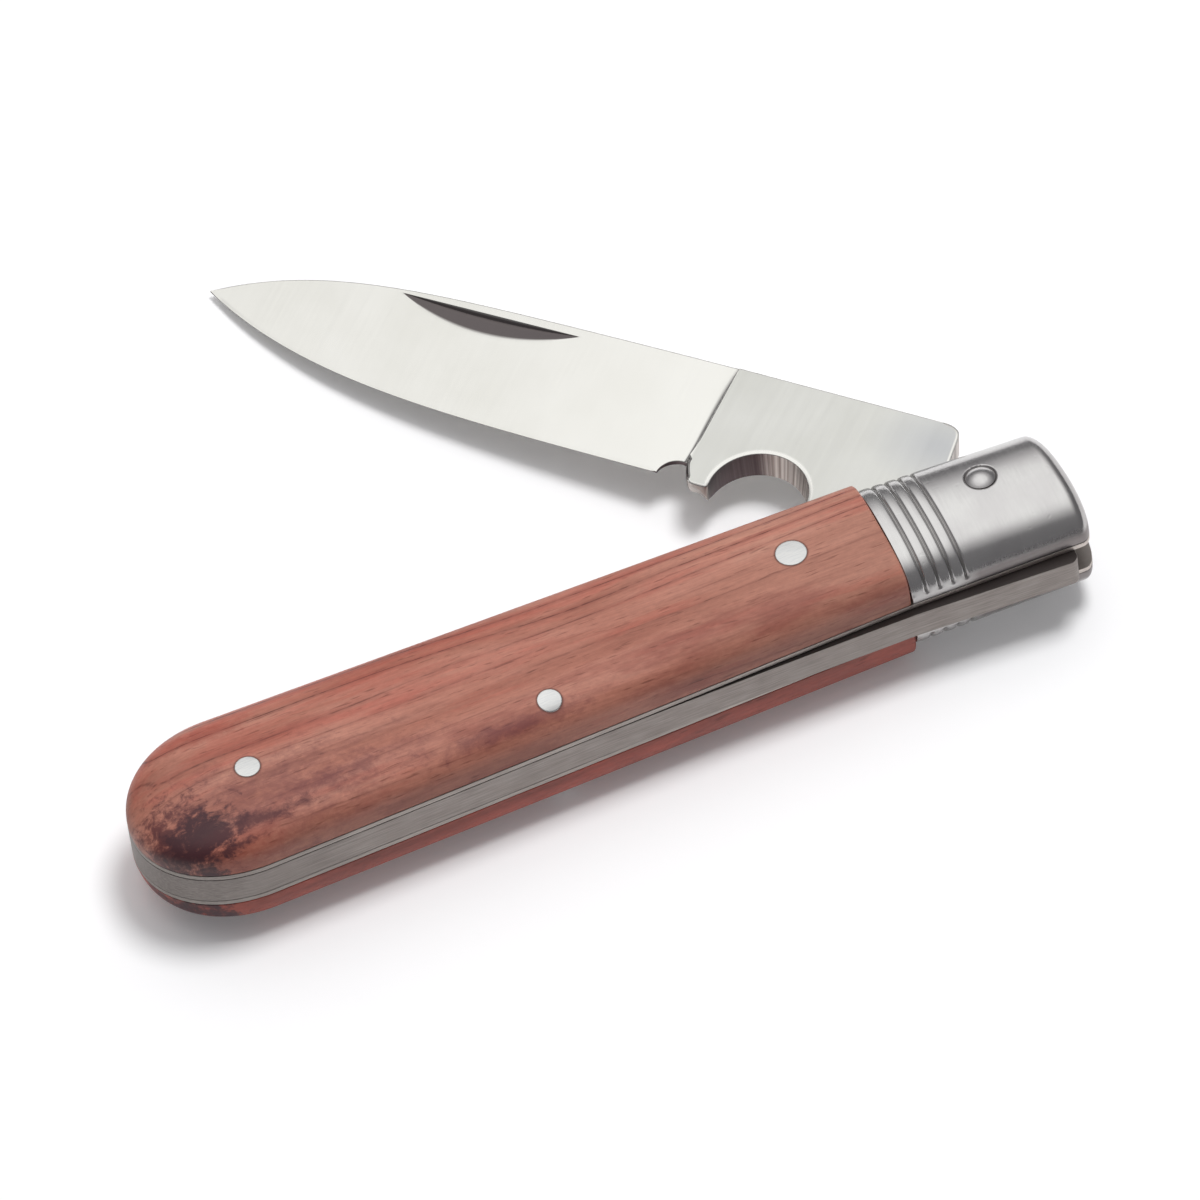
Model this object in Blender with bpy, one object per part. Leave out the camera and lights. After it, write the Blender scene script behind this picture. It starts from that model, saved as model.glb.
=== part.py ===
"""Electrician's cable knife, lying on its side with the blade swung part way out.

Lengths are in metres. The knife is drawn in a frame of its own: the pivot's axis
stands at x = 0, the handle runs from the butt at -X to the bolsters at +X, the blade
folds into the +Y edge, and z = 0 is the middle of the blade's thickness. The blade is
drawn flat in its own frame too, from the pivot along +X, with its cutting edge at +Y.
At the end the whole knife is moved so that the origin is the centre of its footprint.
"""
import math

import bmesh
import bpy
from mathutils import Vector

# Handle, seen from above
PIVOT_TO_BUTT = 0.1007
PIVOT_TO_BOLSTER_END = 0.0093
PIVOT_TO_WOOD = 0.0125
PIVOT_ABOVE_CENTRE = 0.0015
BUTT_HALF_WIDTH = 0.01005
WAIST_HALF_WIDTH = 0.0082
BOLSTER_BACK_HALF_WIDTH = 0.0086
BOLSTER_BELLY_HALF_WIDTH = 0.0071
BUTT_ROUND_LENGTH = 0.0120
END_ROUND_LENGTH = 0.0023
END_SLANT = 0.00035

# Layers, from the middle of the blade outwards
BLADE_STOCK = 0.0034
CHANNEL_CLEARANCE = 0.0001
LINER_THICKNESS = 0.0005
SEAT_GAP = 0.0001
SCALE_RISE_AT_WAIST = 0.00515
SCALE_RISE_AT_BUTT = 0.0046

# Bolsters
BOLSTER_RISE_AT_WOOD = 0.0048
BOLSTER_RISE_AT_END = 0.0045
BOLSTER_WALL = 0.0009
BOLSTER_WOOD_GAP = 0.0001
GROOVE_COUNT = 4
GROOVE_FROM_WOOD = 0.0017
GROOVE_PITCH = 0.00163
GROOVE_HALF_WIDTH = 0.00045
GROOVE_DEPTH = 0.0004
GROOVE_FADE_HEIGHT = 0.0014

# Pins
BUTT_PIN_FROM_PIVOT = 0.08675
BUTT_PIN_RADIUS = 0.0014
SPRING_PIN_FROM_PIVOT = 0.0540
SPRING_PIN_BELOW_CENTRE = 0.0062
SPRING_PIN_RADIUS = 0.00135
FRONT_PIN_FROM_PIVOT = 0.02275
FRONT_PIN_ABOVE_CENTRE = 0.0005
FRONT_PIN_RADIUS = 0.00175
PIN_PROUD = 0.00005
PIN_DOME = 0.00005
PIN_CLEARANCE = 0.0001

# Pivot rivet
RIVET_RADIUS = 0.0015
RIVET_HEAD_RADIUS = 0.0018
RIVET_HEAD_HEIGHT = 0.00035
RIVET_SEAT_RADIUS = 0.0021
RIVET_SEAT_DEPTH = 0.0003
RIVET_CLEARANCE = 0.0001

# Blade
BLADE_LENGTH = 0.0945
SPINE_TO_PIVOT = 0.0100
TIP_BEHIND_PIVOT = 0.0026
EDGE_TO_PIVOT = 0.0056
LIP_TO_PIVOT = 0.0070
SHOULDER_TO_PIVOT = 0.0064
SHOULDER_SLANT = 0.0006
SHOULDER_ROUND = 0.0008
PLUNGE_TO_PIVOT = 0.0333
SPINE_CURVE_START = 0.0324
EDGE_CURVE_START = 0.0313
GRIND_STEP = 0.0001
SPINE_THICKNESS = 0.0031
TIP_THICKNESS = 0.0010
EDGE_THICKNESS = 0.0003
NOTCH_FROM_PIVOT = 0.0244
NOTCH_CENTRE_TO_PIVOT = 0.0060
NOTCH_RADIUS = 0.00565
NOTCH_DRAFT = 0.0005
NOTCH_RIM_WIDTH = 0.0005
NOTCH_RIM_DEPTH = 0.00025
CHOIL_FROM_PIVOT = 0.0350
CHOIL_CENTRE_TO_PIVOT = 0.0059
CHOIL_RADIUS = 0.0020
NICK_FROM_PIVOT = 0.0632
NICK_LENGTH = 0.0212
NICK_WIDTH = 0.0031
NICK_BELOW_SPINE = 0.0011
NICK_DEPTH = 0.00045

# Tang and backspring
TANG_HALF = 0.0049
TANG_CORNER = 0.0019
TANG_KICK_LENGTH = 0.0095
TANG_RAMP = 0.0025
TANG_BELLY = 0.0062
SPRING_CONTACT_GAP = 0.00012
SPRING_NOSE_END = 0.0060
SPRING_NOSE_BACK = 0.0085
SPRING_NOSE_ROUND = 0.0008
SPRING_RAMP = 0.0030
SPRING_ARM = 0.0031
SPRING_EYE_HALF = 0.0022
SPRING_EYE_REACH = 0.0045
SPRING_REAR_ARM = 0.0042
SPRING_RISE_FROM_PIVOT = 0.0700
SPRING_TOP_CLEARANCE = 0.0012

# Angles of the blade from the +X axis, seen from above
BLADE_REST = math.radians(134.0)
BLADE_CLOSED = math.radians(177.5)

# Shapes without a size
SECTION_POWER = 3.65
BOLSTER_WOOD_POWER = 2.4
BOLSTER_END_POWER = 2.3
BUTT_POWER = 2.1
END_POWER = 2.33
SPINE_POWER = 6.2
EDGE_POWER = 4.4
NICK_DEEPEST_SHARE = 0.45
NICK_OVERRUN_SHARE = 1.6
PIN_RING_SHARES = (1.0, 0.6)
PIN_SIDES = 24
NOTCH_SIDES = 48
CROWN_STEPS = 21
ROUND_STEPS = 10
CORNER_STEPS = 5
BACK_STEPS = 24
CUT_OVERRUN = 0.0010
SHARP_ANGLE = math.radians(32.0)

# Levels and places worked out from the sizes above
CHANNEL_HALF = BLADE_STOCK / 2 + CHANNEL_CLEARANCE
LINER_TOP = CHANNEL_HALF + LINER_THICKNESS
SEAT_LEVEL = LINER_TOP + SEAT_GAP
BUTT_START = BUTT_ROUND_LENGTH - PIVOT_TO_BUTT
END_START = PIVOT_TO_BOLSTER_END - END_ROUND_LENGTH
PIVOT = Vector((0.0, PIVOT_ABOVE_CENTRE, 0.0))
BUTT_PIN = Vector((-BUTT_PIN_FROM_PIVOT, 0.0, 0.0))
SPRING_PIN = Vector((-SPRING_PIN_FROM_PIVOT, -SPRING_PIN_BELOW_CENTRE, 0.0))
FRONT_PIN = Vector((-FRONT_PIN_FROM_PIVOT, FRONT_PIN_ABOVE_CENTRE, 0.0))


def clear_scene():
    """Remove every object that the file opened with."""
    for item in list(bpy.data.objects):
        bpy.data.objects.remove(item, do_unlink=True)


def make_material(name, colour, roughness, metallic):
    """A plain Principled material."""
    material = bpy.data.materials.new(name)
    material.use_nodes = True
    shader = material.node_tree.nodes["Principled BSDF"]
    shader.inputs["Base Color"].default_value = (*colour, 1.0)
    shader.inputs["Roughness"].default_value = roughness
    shader.inputs["Metallic"].default_value = metallic
    material.diffuse_color = (*colour, 1.0)
    return material


def make_object(name, mesh, parent, material=None):
    """Link a mesh as an object under its parent, shaded smooth between sharp edges."""
    mesh.shade_smooth()
    mesh.set_sharp_from_angle(angle=SHARP_ANGLE)
    item = bpy.data.objects.new(name, mesh)
    bpy.context.scene.collection.objects.link(item)
    item.parent = parent
    if material:
        mesh.materials.append(material)
    return item


def loft(name, rings):
    """Skin a list of rings into a closed mesh. A ring of one point closes to a tip."""
    shape = bmesh.new()
    loops = [[shape.verts.new(point) for point in ring] for ring in rings]
    for before, after in zip(loops, loops[1:]):
        count = max(len(before), len(after))
        for index in range(count):
            corners = []
            for loop, place in ((before, index), (before, index + 1),
                                (after, index + 1), (after, index)):
                corner = loop[place % len(loop)]
                if corner not in corners:
                    corners.append(corner)
            shape.faces.new(corners)
    for loop in (loops[0], loops[-1]):
        if len(loop) > 1:
            shape.faces.new(loop)
    bmesh.ops.recalc_face_normals(shape, faces=shape.faces)
    mesh = bpy.data.meshes.new(name)
    shape.to_mesh(mesh)
    shape.free()
    return mesh


def prism(name, outline, low, high):
    """A flat outline of (x, y) points made solid between two levels."""
    return loft(name, [[Vector((x, y, level)) for x, y in outline] for level in (low, high)])


def turned(name, profile, centre, sides=PIN_SIDES):
    """A turned solid on a vertical axis through centre, from (radius, z) pairs."""
    rings = []
    for radius, level in profile:
        if radius == 0:
            rings.append([Vector((centre.x, centre.y, level))])
            continue
        turns = [math.tau * step / sides for step in range(sides)]
        rings.append([Vector((centre.x + radius * math.cos(turn),
                              centre.y + radius * math.sin(turn), level)) for turn in turns])
    return loft(name, rings)


def cut(piece, mesh, operation="DIFFERENCE"):
    """Cut a closed mesh out of a piece, or join it on, with a live modifier."""
    tool = make_object(mesh.name, mesh, piece.parent)
    tool.location = piece.location
    tool.rotation_euler = piece.rotation_euler
    tool.hide_render = True
    tool.display_type = "WIRE"
    modifier = piece.modifiers.new(mesh.name, "BOOLEAN")
    modifier.operation = operation
    modifier.object = tool


def bore(piece, name, centre, radius, low, high):
    """Cut a round hole through a piece between two levels."""
    cut(piece, turned(name, [(radius, low), (radius, high)], centre))


def blend(start, end, share):
    """The value a share of the way from start to end."""
    return start + (end - start) * share


def round_factor(x):
    """How much of its full size a section keeps inside the two rounded ends."""
    if x < BUTT_START:
        depth, power = (BUTT_START - x) / BUTT_ROUND_LENGTH, BUTT_POWER
    elif x > END_START:
        depth, power = (x - END_START) / END_ROUND_LENGTH, END_POWER
    else:
        return 1.0
    return max(1.0 - min(depth, 1.0) ** power, 0.0) ** (1.0 / power)


def half_widths(x):
    """Distances from the centre line to the back edge and to the belly edge."""
    if x < -PIVOT_TO_WOOD:
        share = (min(max(x, BUTT_START), -PIVOT_TO_WOOD) - BUTT_START) / (-PIVOT_TO_WOOD - BUTT_START)
        back = belly = blend(BUTT_HALF_WIDTH, WAIST_HALF_WIDTH, share)
    else:
        share = (x + PIVOT_TO_WOOD) / (PIVOT_TO_BOLSTER_END + PIVOT_TO_WOOD)
        back = blend(WAIST_HALF_WIDTH, BOLSTER_BACK_HALF_WIDTH, share)
        belly = blend(WAIST_HALF_WIDTH, BOLSTER_BELLY_HALF_WIDTH, share)
    factor = round_factor(x)
    return back * factor, belly * factor


def slanted(x, y):
    """X moved for the handle's front end, which is cut back a little towards the belly."""
    share = max(x + PIVOT_TO_WOOD, 0.0) / (PIVOT_TO_BOLSTER_END + PIVOT_TO_WOOD)
    return x - END_SLANT * share * y / BOLSTER_BELLY_HALF_WIDTH


def rise_and_power(x):
    """Height of the crown above its seat, and how square its section is."""
    if x < -PIVOT_TO_WOOD:
        share = (max(x, BUTT_START) - BUTT_START) / (-PIVOT_TO_WOOD - BUTT_START)
        return blend(SCALE_RISE_AT_BUTT, SCALE_RISE_AT_WAIST, share) * round_factor(x), SECTION_POWER
    share = (x + PIVOT_TO_WOOD) / (PIVOT_TO_BOLSTER_END + PIVOT_TO_WOOD)
    rise = blend(BOLSTER_RISE_AT_WOOD, BOLSTER_RISE_AT_END, share) * round_factor(x)
    return rise, blend(BOLSTER_WOOD_POWER, BOLSTER_END_POWER, share)


def crown_height(x, y):
    """Height of the handle's outer surface above the blade's middle plane."""
    back, belly = half_widths(x)
    rise, power = rise_and_power(x)
    across = min(abs(y) / (back if y < 0 else belly), 1.0)
    return SEAT_LEVEL + rise * (1.0 - across ** power) ** (1.0 / power)


def crown_ring(x, side, inset=0.0, groove=0.0, seat=SEAT_LEVEL):
    """One cross section of a scale or bolster: a flat seat under a crowned top."""
    back, belly = half_widths(x)
    rise, power = rise_and_power(x)
    ring = []
    for step in range(CROWN_STEPS + 1):
        turn = math.pi * step / CROWN_STEPS
        along = math.copysign(abs(math.cos(turn)) ** (2.0 / power), math.cos(turn))
        up = max(math.sin(turn), 0.0) ** (2.0 / power)
        sunk = inset + groove * min(rise * up / GROOVE_FADE_HEIGHT, 1.0)
        half = (belly if along > 0 else back) - sunk
        ring.append(Vector((slanted(x, along * half), along * half,
                            side * (SEAT_LEVEL + (rise - sunk) * up))))
    if seat != SEAT_LEVEL:
        ring.extend([Vector((ring[end].x, ring[end].y, side * seat)) for end in (-1, 0)])
    return ring


def rounded_places(start, length, direction, power):
    """Places along X through a rounded end, closer together towards its tip."""
    places = []
    for step in range(1, ROUND_STEPS):
        turn = math.pi / 2 * step / ROUND_STEPS
        places.append(start + direction * length * math.sin(turn) ** (2.0 / power))
    return places


def make_scale(name, side, parent, material):
    """A wooden scale, crowned across and rounded down at the butt."""
    places = [-PIVOT_TO_WOOD - BOLSTER_WOOD_GAP, BUTT_START]
    places += rounded_places(BUTT_START, BUTT_ROUND_LENGTH, -1, BUTT_POWER)
    rings = [crown_ring(x, side) for x in places]
    rings.append([Vector((-PIVOT_TO_BUTT, 0.0, side * SEAT_LEVEL))])
    scale = make_object(name, loft(name, rings), parent, material)
    for pin, radius in ((BUTT_PIN, BUTT_PIN_RADIUS), (SPRING_PIN, SPRING_PIN_RADIUS),
                        (FRONT_PIN, FRONT_PIN_RADIUS)):
        top = SEAT_LEVEL + SCALE_RISE_AT_WAIST + CUT_OVERRUN
        bore(scale, name + "_hole", pin, radius + PIN_CLEARANCE, 0.0, side * top)
    return scale


def make_bolster(name, side, parent, material):
    """A pressed sheet bolster: a hollow cup with grooves beside the wood."""
    stations = [(-PIVOT_TO_WOOD, 0.0)]
    for index in range(GROOVE_COUNT):
        centre = -PIVOT_TO_WOOD + GROOVE_FROM_WOOD + index * GROOVE_PITCH
        stations += [(centre - GROOVE_HALF_WIDTH, 0.0), (centre, GROOVE_DEPTH),
                     (centre + GROOVE_HALF_WIDTH, 0.0)]
    stations.append((END_START, 0.0))
    stations += [(x, 0.0) for x in rounded_places(END_START, END_ROUND_LENGTH, 1, END_POWER)]
    rings = [crown_ring(x, side, groove=depth) for x, depth in stations]
    rings.append([Vector((PIVOT_TO_BOLSTER_END, 0.0, side * SEAT_LEVEL))])
    bolster = make_object(name, loft(name, rings), parent, material)
    hollow = [crown_ring(x, side, inset=BOLSTER_WALL, seat=SEAT_LEVEL - CUT_OVERRUN)
              for x in (-PIVOT_TO_WOOD + BOLSTER_WALL, END_START - BOLSTER_WALL)]
    cut(bolster, loft(name + "_hollow", hollow))
    floor = crown_height(PIVOT.x, PIVOT.y) - RIVET_SEAT_DEPTH
    top = SEAT_LEVEL + SCALE_RISE_AT_WAIST + CUT_OVERRUN
    bore(bolster, name + "_seat", PIVOT, RIVET_SEAT_RADIUS, side * floor, side * top)
    bore(bolster, name + "_hole", PIVOT, RIVET_RADIUS + RIVET_CLEARANCE, 0.0, side * top)
    return bolster


def edge_places():
    """Places along X that the liners' and spring's outlines share, butt to bolster."""
    butt = rounded_places(BUTT_START, BUTT_ROUND_LENGTH, -1, BUTT_POWER)
    end = rounded_places(END_START, END_ROUND_LENGTH, 1, END_POWER)
    return butt[::-1] + [BUTT_START, -PIVOT_TO_WOOD, END_START] + end


def make_liner(name, side, parent, material):
    """A thin plate with the handle's outline, holed for the pivot and the pins."""
    places = edge_places()
    outline = [(-PIVOT_TO_BUTT, 0.0)] + [(x, -half_widths(x)[0]) for x in places]
    outline += [(PIVOT_TO_BOLSTER_END, 0.0)] + [(x, half_widths(x)[1]) for x in reversed(places)]
    outline = [(slanted(x, y), y) for x, y in outline]
    liner = make_object(name, prism(name, outline, side * CHANNEL_HALF, side * LINER_TOP),
                        parent, material)
    for centre, radius in ((PIVOT, RIVET_RADIUS + RIVET_CLEARANCE),
                           (BUTT_PIN, BUTT_PIN_RADIUS + PIN_CLEARANCE),
                           (SPRING_PIN, SPRING_PIN_RADIUS + PIN_CLEARANCE),
                           (FRONT_PIN, FRONT_PIN_RADIUS + PIN_CLEARANCE)):
        bore(liner, name + "_hole", centre, radius, 0.0, side * (LINER_TOP + CUT_OVERRUN))
    return liner


def spring_bend(x):
    """How far the tang's corner has pushed the spring out of the back edge at x."""
    inner = TANG_HALF - TANG_CORNER
    reach = TANG_CORNER + inner * (math.sin(BLADE_REST) - math.cos(BLADE_REST))
    lift = reach - TANG_HALF + SPRING_CONTACT_GAP
    along = max((x - SPRING_PIN.x) / (PIVOT.x - SPRING_PIN.x), 0.0)
    return lift * (3.0 * along ** 2 - along ** 3) / 2.0


def closed_edge(u):
    """The cutting edge's place at u from the pivot when the blade is folded in."""
    across = edge_line(u)
    x = PIVOT.x + u * math.cos(BLADE_CLOSED) - across * math.sin(BLADE_CLOSED)
    return x, PIVOT.y + u * math.sin(BLADE_CLOSED) + across * math.cos(BLADE_CLOSED)


def spring_outline():
    """Outline of the backspring, bent as the half-open blade bends it."""
    places = rounded_places(BUTT_START, BUTT_ROUND_LENGTH, -1, BUTT_POWER)[::-1]
    places += [blend(BUTT_START, SPRING_NOSE_END - SPRING_NOSE_ROUND, step / BACK_STEPS)
               for step in range(BACK_STEPS + 1)]
    outer = [(x, -half_widths(x)[0]) for x in places]
    outer.append((SPRING_NOSE_END, SPRING_NOSE_ROUND - half_widths(SPRING_NOSE_END)[0]))
    seat = PIVOT.y - TANG_HALF
    nose_back = -SPRING_NOSE_BACK
    eye = SPRING_PIN.y + SPRING_EYE_HALF
    front_end = SPRING_PIN.x + SPRING_EYE_REACH
    rear_end = SPRING_PIN.x - SPRING_EYE_REACH
    arm_start, arm_end = nose_back - SPRING_RAMP, front_end + SPRING_RAMP
    corners = [(SPRING_NOSE_END, seat - SPRING_NOSE_ROUND), (SPRING_NOSE_END - SPRING_NOSE_ROUND, seat),
               (nose_back, seat), (arm_start, SPRING_ARM - half_widths(arm_start)[0]),
               (arm_end, SPRING_ARM - half_widths(arm_end)[0]), (front_end, eye), (rear_end, eye),
               (rear_end - SPRING_RAMP, SPRING_REAR_ARM - half_widths(rear_end)[0]),
               (-SPRING_RISE_FROM_PIVOT, SPRING_REAR_ARM - half_widths(-SPRING_RISE_FROM_PIVOT)[0])]
    inner = []
    for (x, y), (next_x, next_y) in zip(corners, corners[1:]):
        steps = max(round((x - next_x) / SPRING_RAMP), 1)
        inner += [(blend(x, next_x, step / steps), blend(y, next_y, step / steps))
                  for step in range(steps)]
    inner.append(corners[-1])
    top = []
    for step in range(ROUND_STEPS + 1):
        u = blend(BUTT_PIN_FROM_PIVOT - SPRING_EYE_REACH, BLADE_LENGTH, step / ROUND_STEPS)
        x, y = closed_edge(u)
        top.append((x, y - SPRING_TOP_CLEARANCE))
    belly = [(x, half_widths(x)[1]) for x in edge_places()[::-1]
             if x < top[-1][0] and half_widths(x)[1] < top[-1][1]]
    outline = [(-PIVOT_TO_BUTT, 0.0)] + outer + inner + top + belly
    return [(x, y - spring_bend(x)) for x, y in outline]


def make_spring(parent, material):
    """The backspring: one strip round the butt and along the back, between the liners."""
    half = BLADE_STOCK / 2
    spring = make_object("back_spring", prism("back_spring", spring_outline(), -half, half),
                         parent, material)
    for centre, radius in ((BUTT_PIN, BUTT_PIN_RADIUS), (SPRING_PIN, SPRING_PIN_RADIUS)):
        bore(spring, "back_spring_hole", centre, radius + PIN_CLEARANCE, -CHANNEL_HALF, CHANNEL_HALF)
    return spring


def pin_head(centre, radius, side):
    """Rings of a pin's end, dressed to the handle's surface with a slight dome."""
    rings = []
    for share in PIN_RING_SHARES:
        ring = []
        for step in range(PIN_SIDES):
            turn = math.tau * step / PIN_SIDES
            x = centre.x + share * radius * math.cos(turn)
            y = centre.y + share * radius * math.sin(turn)
            level = crown_height(x, y) + PIN_PROUD + PIN_DOME * (1.0 - share ** 2)
            ring.append(Vector((x, y, side * level)))
        rings.append(ring)
    tip = crown_height(centre.x, centre.y) + PIN_PROUD + PIN_DOME
    rings.append([Vector((centre.x, centre.y, side * tip))])
    return rings


def make_through_pin(name, centre, radius, parent, material):
    """A pin through both scales, with both ends dressed flush."""
    rings = pin_head(centre, radius, -1)[::-1] + pin_head(centre, radius, 1)
    return make_object(name, loft(name, rings), parent, material)


def make_short_pin(name, side, parent, material):
    """A pin that holds one scale to its liner and stays out of the blade's channel."""
    turns = [math.tau * step / PIN_SIDES for step in range(PIN_SIDES)]
    foot = [Vector((FRONT_PIN.x + FRONT_PIN_RADIUS * math.cos(turn),
                    FRONT_PIN.y + FRONT_PIN_RADIUS * math.sin(turn), side * CHANNEL_HALF))
            for turn in turns]
    rings = [foot] + pin_head(FRONT_PIN, FRONT_PIN_RADIUS, side)
    return make_object(name, loft(name, rings), parent, material)


def make_rivet(parent, material):
    """The pivot rivet, with a domed head sunk a little into each bolster."""
    floor = crown_height(PIVOT.x, PIVOT.y) - RIVET_SEAT_DEPTH + RIVET_CLEARANCE
    rim = floor + RIVET_SEAT_DEPTH
    half = [(RIVET_RADIUS, floor), (RIVET_HEAD_RADIUS, floor), (RIVET_HEAD_RADIUS, rim)]
    for step in range(1, CORNER_STEPS + 1):
        turn = math.pi / 2 * step / CORNER_STEPS
        radius = RIVET_HEAD_RADIUS * math.cos(turn) if step < CORNER_STEPS else 0
        half.append((radius, rim + RIVET_HEAD_HEIGHT * math.sin(turn)))
    profile = [(radius, -level) for radius, level in reversed(half)] + half
    return make_object("pivot_rivet", turned("pivot_rivet", profile, PIVOT), parent, material)


def spine_line(u):
    """The blade's back, measured from the pivot's line towards the edge."""
    along = max((u - SPINE_CURVE_START) / (BLADE_LENGTH - SPINE_CURVE_START), 0.0)
    straight = GRIND_STEP - SPINE_TO_PIVOT
    return blend(straight, -TIP_BEHIND_PIVOT, along ** SPINE_POWER)


def edge_line(u):
    """The cutting edge, straight from the choil and then curved up to the tip."""
    along = max((u - EDGE_CURVE_START) / (BLADE_LENGTH - EDGE_CURVE_START), 0.0)
    return blend(EDGE_TO_PIVOT, -TIP_BEHIND_PIVOT, along ** EDGE_POWER)


def face_height(u, v):
    """Half of the ground blade's thickness at a point of its face."""
    along = (u - PLUNGE_TO_PIVOT) / (BLADE_LENGTH - PLUNGE_TO_PIVOT)
    spine = blend(SPINE_THICKNESS, TIP_THICKNESS, max(along, 0.0)) / 2
    across = (v - spine_line(u)) / (edge_line(u) - spine_line(u))
    return blend(spine, EDGE_THICKNESS / 2, across)


def ground_blade():
    """The blade past its plunge line, ground from the back down to the edge."""
    start = PLUNGE_TO_PIVOT - CUT_OVERRUN
    count = 3 * ROUND_STEPS
    rings = []
    for step in range(count):
        u = blend(start, BLADE_LENGTH, math.sin(math.pi / 2 * step / count))
        spine, edge = spine_line(u), edge_line(u)
        top = [Vector((u, v, face_height(u, v))) for v in (spine, edge)]
        rings.append(top + [Vector((p.x, p.y, -p.z)) for p in reversed(top)])
    rings.append([Vector((BLADE_LENGTH, -TIP_BEHIND_PIVOT, 0.0))])
    return loft("blade_ground", rings)


def corner_arc(centre_u, centre_v, radius, start_degrees, end_degrees):
    """Points of a rounded corner in the blade's plane."""
    points = []
    for step in range(CORNER_STEPS + 1):
        turn = math.radians(blend(start_degrees, end_degrees, step / CORNER_STEPS))
        points.append((centre_u + radius * math.cos(turn), centre_v + radius * math.sin(turn)))
    return points


def tang_outline():
    """Outline of the unground part: shoulder, tang with its two cam corners, belly."""
    spine = -SPINE_TO_PIVOT
    inner = TANG_HALF - TANG_CORNER
    corner = SHOULDER_TO_PIVOT + SHOULDER_SLANT
    outline = [(PLUNGE_TO_PIVOT, spine)]
    outline += corner_arc(corner + SHOULDER_ROUND, spine + SHOULDER_ROUND, SHOULDER_ROUND, 270, 190)
    outline.append((SHOULDER_TO_PIVOT, -TANG_HALF))
    outline += corner_arc(-inner, -inner, TANG_CORNER, 270, 180)
    outline += corner_arc(-inner, inner, TANG_CORNER, 180, 90)
    outline += [(TANG_KICK_LENGTH, TANG_HALF), (TANG_KICK_LENGTH + TANG_RAMP, TANG_BELLY),
                (NOTCH_FROM_PIVOT - NOTCH_RADIUS, TANG_BELLY), (NOTCH_FROM_PIVOT, LIP_TO_PIVOT),
                (PLUNGE_TO_PIVOT, LIP_TO_PIVOT)]
    return outline


def nick_cutter():
    """The nail nick: a crescent with a straight upper edge and a curved lower one."""
    upper = spine_line(0.0) + NICK_BELOW_SPINE
    start = NICK_FROM_PIVOT - NICK_LENGTH / 2
    rings = [[Vector((start, upper, face_height(start, upper)))]]
    for step in range(1, ROUND_STEPS):
        share = step / ROUND_STEPS
        u = start + NICK_LENGTH * share
        width = NICK_WIDTH * 4.0 * share * (1.0 - share)
        depth = NICK_DEPTH * width / NICK_WIDTH
        middle = upper + width * NICK_DEEPEST_SHARE
        deep = Vector((u, middle, face_height(u, middle) - depth))
        ring = [deep]
        for v in (upper, upper + width):
            ring.append(deep + (Vector((u, v, face_height(u, v))) - deep) * NICK_OVERRUN_SHARE)
        rings.append(ring)
    end = start + NICK_LENGTH
    rings.append([Vector((end, upper, face_height(end, upper)))])
    return loft("blade_nick", rings)


def make_blade(parent, material):
    """The blade in one piece with its tang, with its notches, nick and pivot hole."""
    half = BLADE_STOCK / 2
    blade = make_object("blade", prism("blade", tang_outline(), -half, half), parent, material)
    blade.location = PIVOT
    blade.rotation_euler.z = BLADE_REST
    cut(blade, ground_blade(), "UNION")
    mouth = NOTCH_RIM_WIDTH * (NOTCH_RIM_DEPTH + CUT_OVERRUN) / NOTCH_RIM_DEPTH
    rims = [(NOTCH_RADIUS - NOTCH_DRAFT, -1), (NOTCH_RADIUS, 1)]
    profile = [(radius, way * (half - NOTCH_RIM_DEPTH)) for radius, way in rims]
    profile.insert(0, (rims[0][0] + mouth, -half - CUT_OVERRUN))
    profile.append((rims[1][0] + mouth, half + CUT_OVERRUN))
    notch = Vector((NOTCH_FROM_PIVOT, NOTCH_CENTRE_TO_PIVOT, 0.0))
    cut(blade, turned("blade_notch", profile, notch, NOTCH_SIDES))
    past = half + CUT_OVERRUN
    choil = Vector((CHOIL_FROM_PIVOT, CHOIL_CENTRE_TO_PIVOT, 0.0))
    bore(blade, "blade_choil", choil, CHOIL_RADIUS, -past, past)
    cut(blade, nick_cutter())
    bore(blade, "blade_hole", Vector(), RIVET_RADIUS + RIVET_CLEARANCE, -past, past)
    return blade


def centre_on_footprint(root, pieces):
    """Move the whole knife so that the origin is the bottom centre of its box."""
    bpy.context.view_layer.update()
    graph = bpy.context.evaluated_depsgraph_get()
    points = []
    for piece in pieces:
        final = piece.evaluated_get(graph)
        points += [final.matrix_world @ vertex.co for vertex in final.data.vertices]
    low = [min(point[axis] for point in points) for axis in range(3)]
    high = [max(point[axis] for point in points) for axis in range(3)]
    root.location = (-(low[0] + high[0]) / 2, -(low[1] + high[1]) / 2, -low[2])


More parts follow.
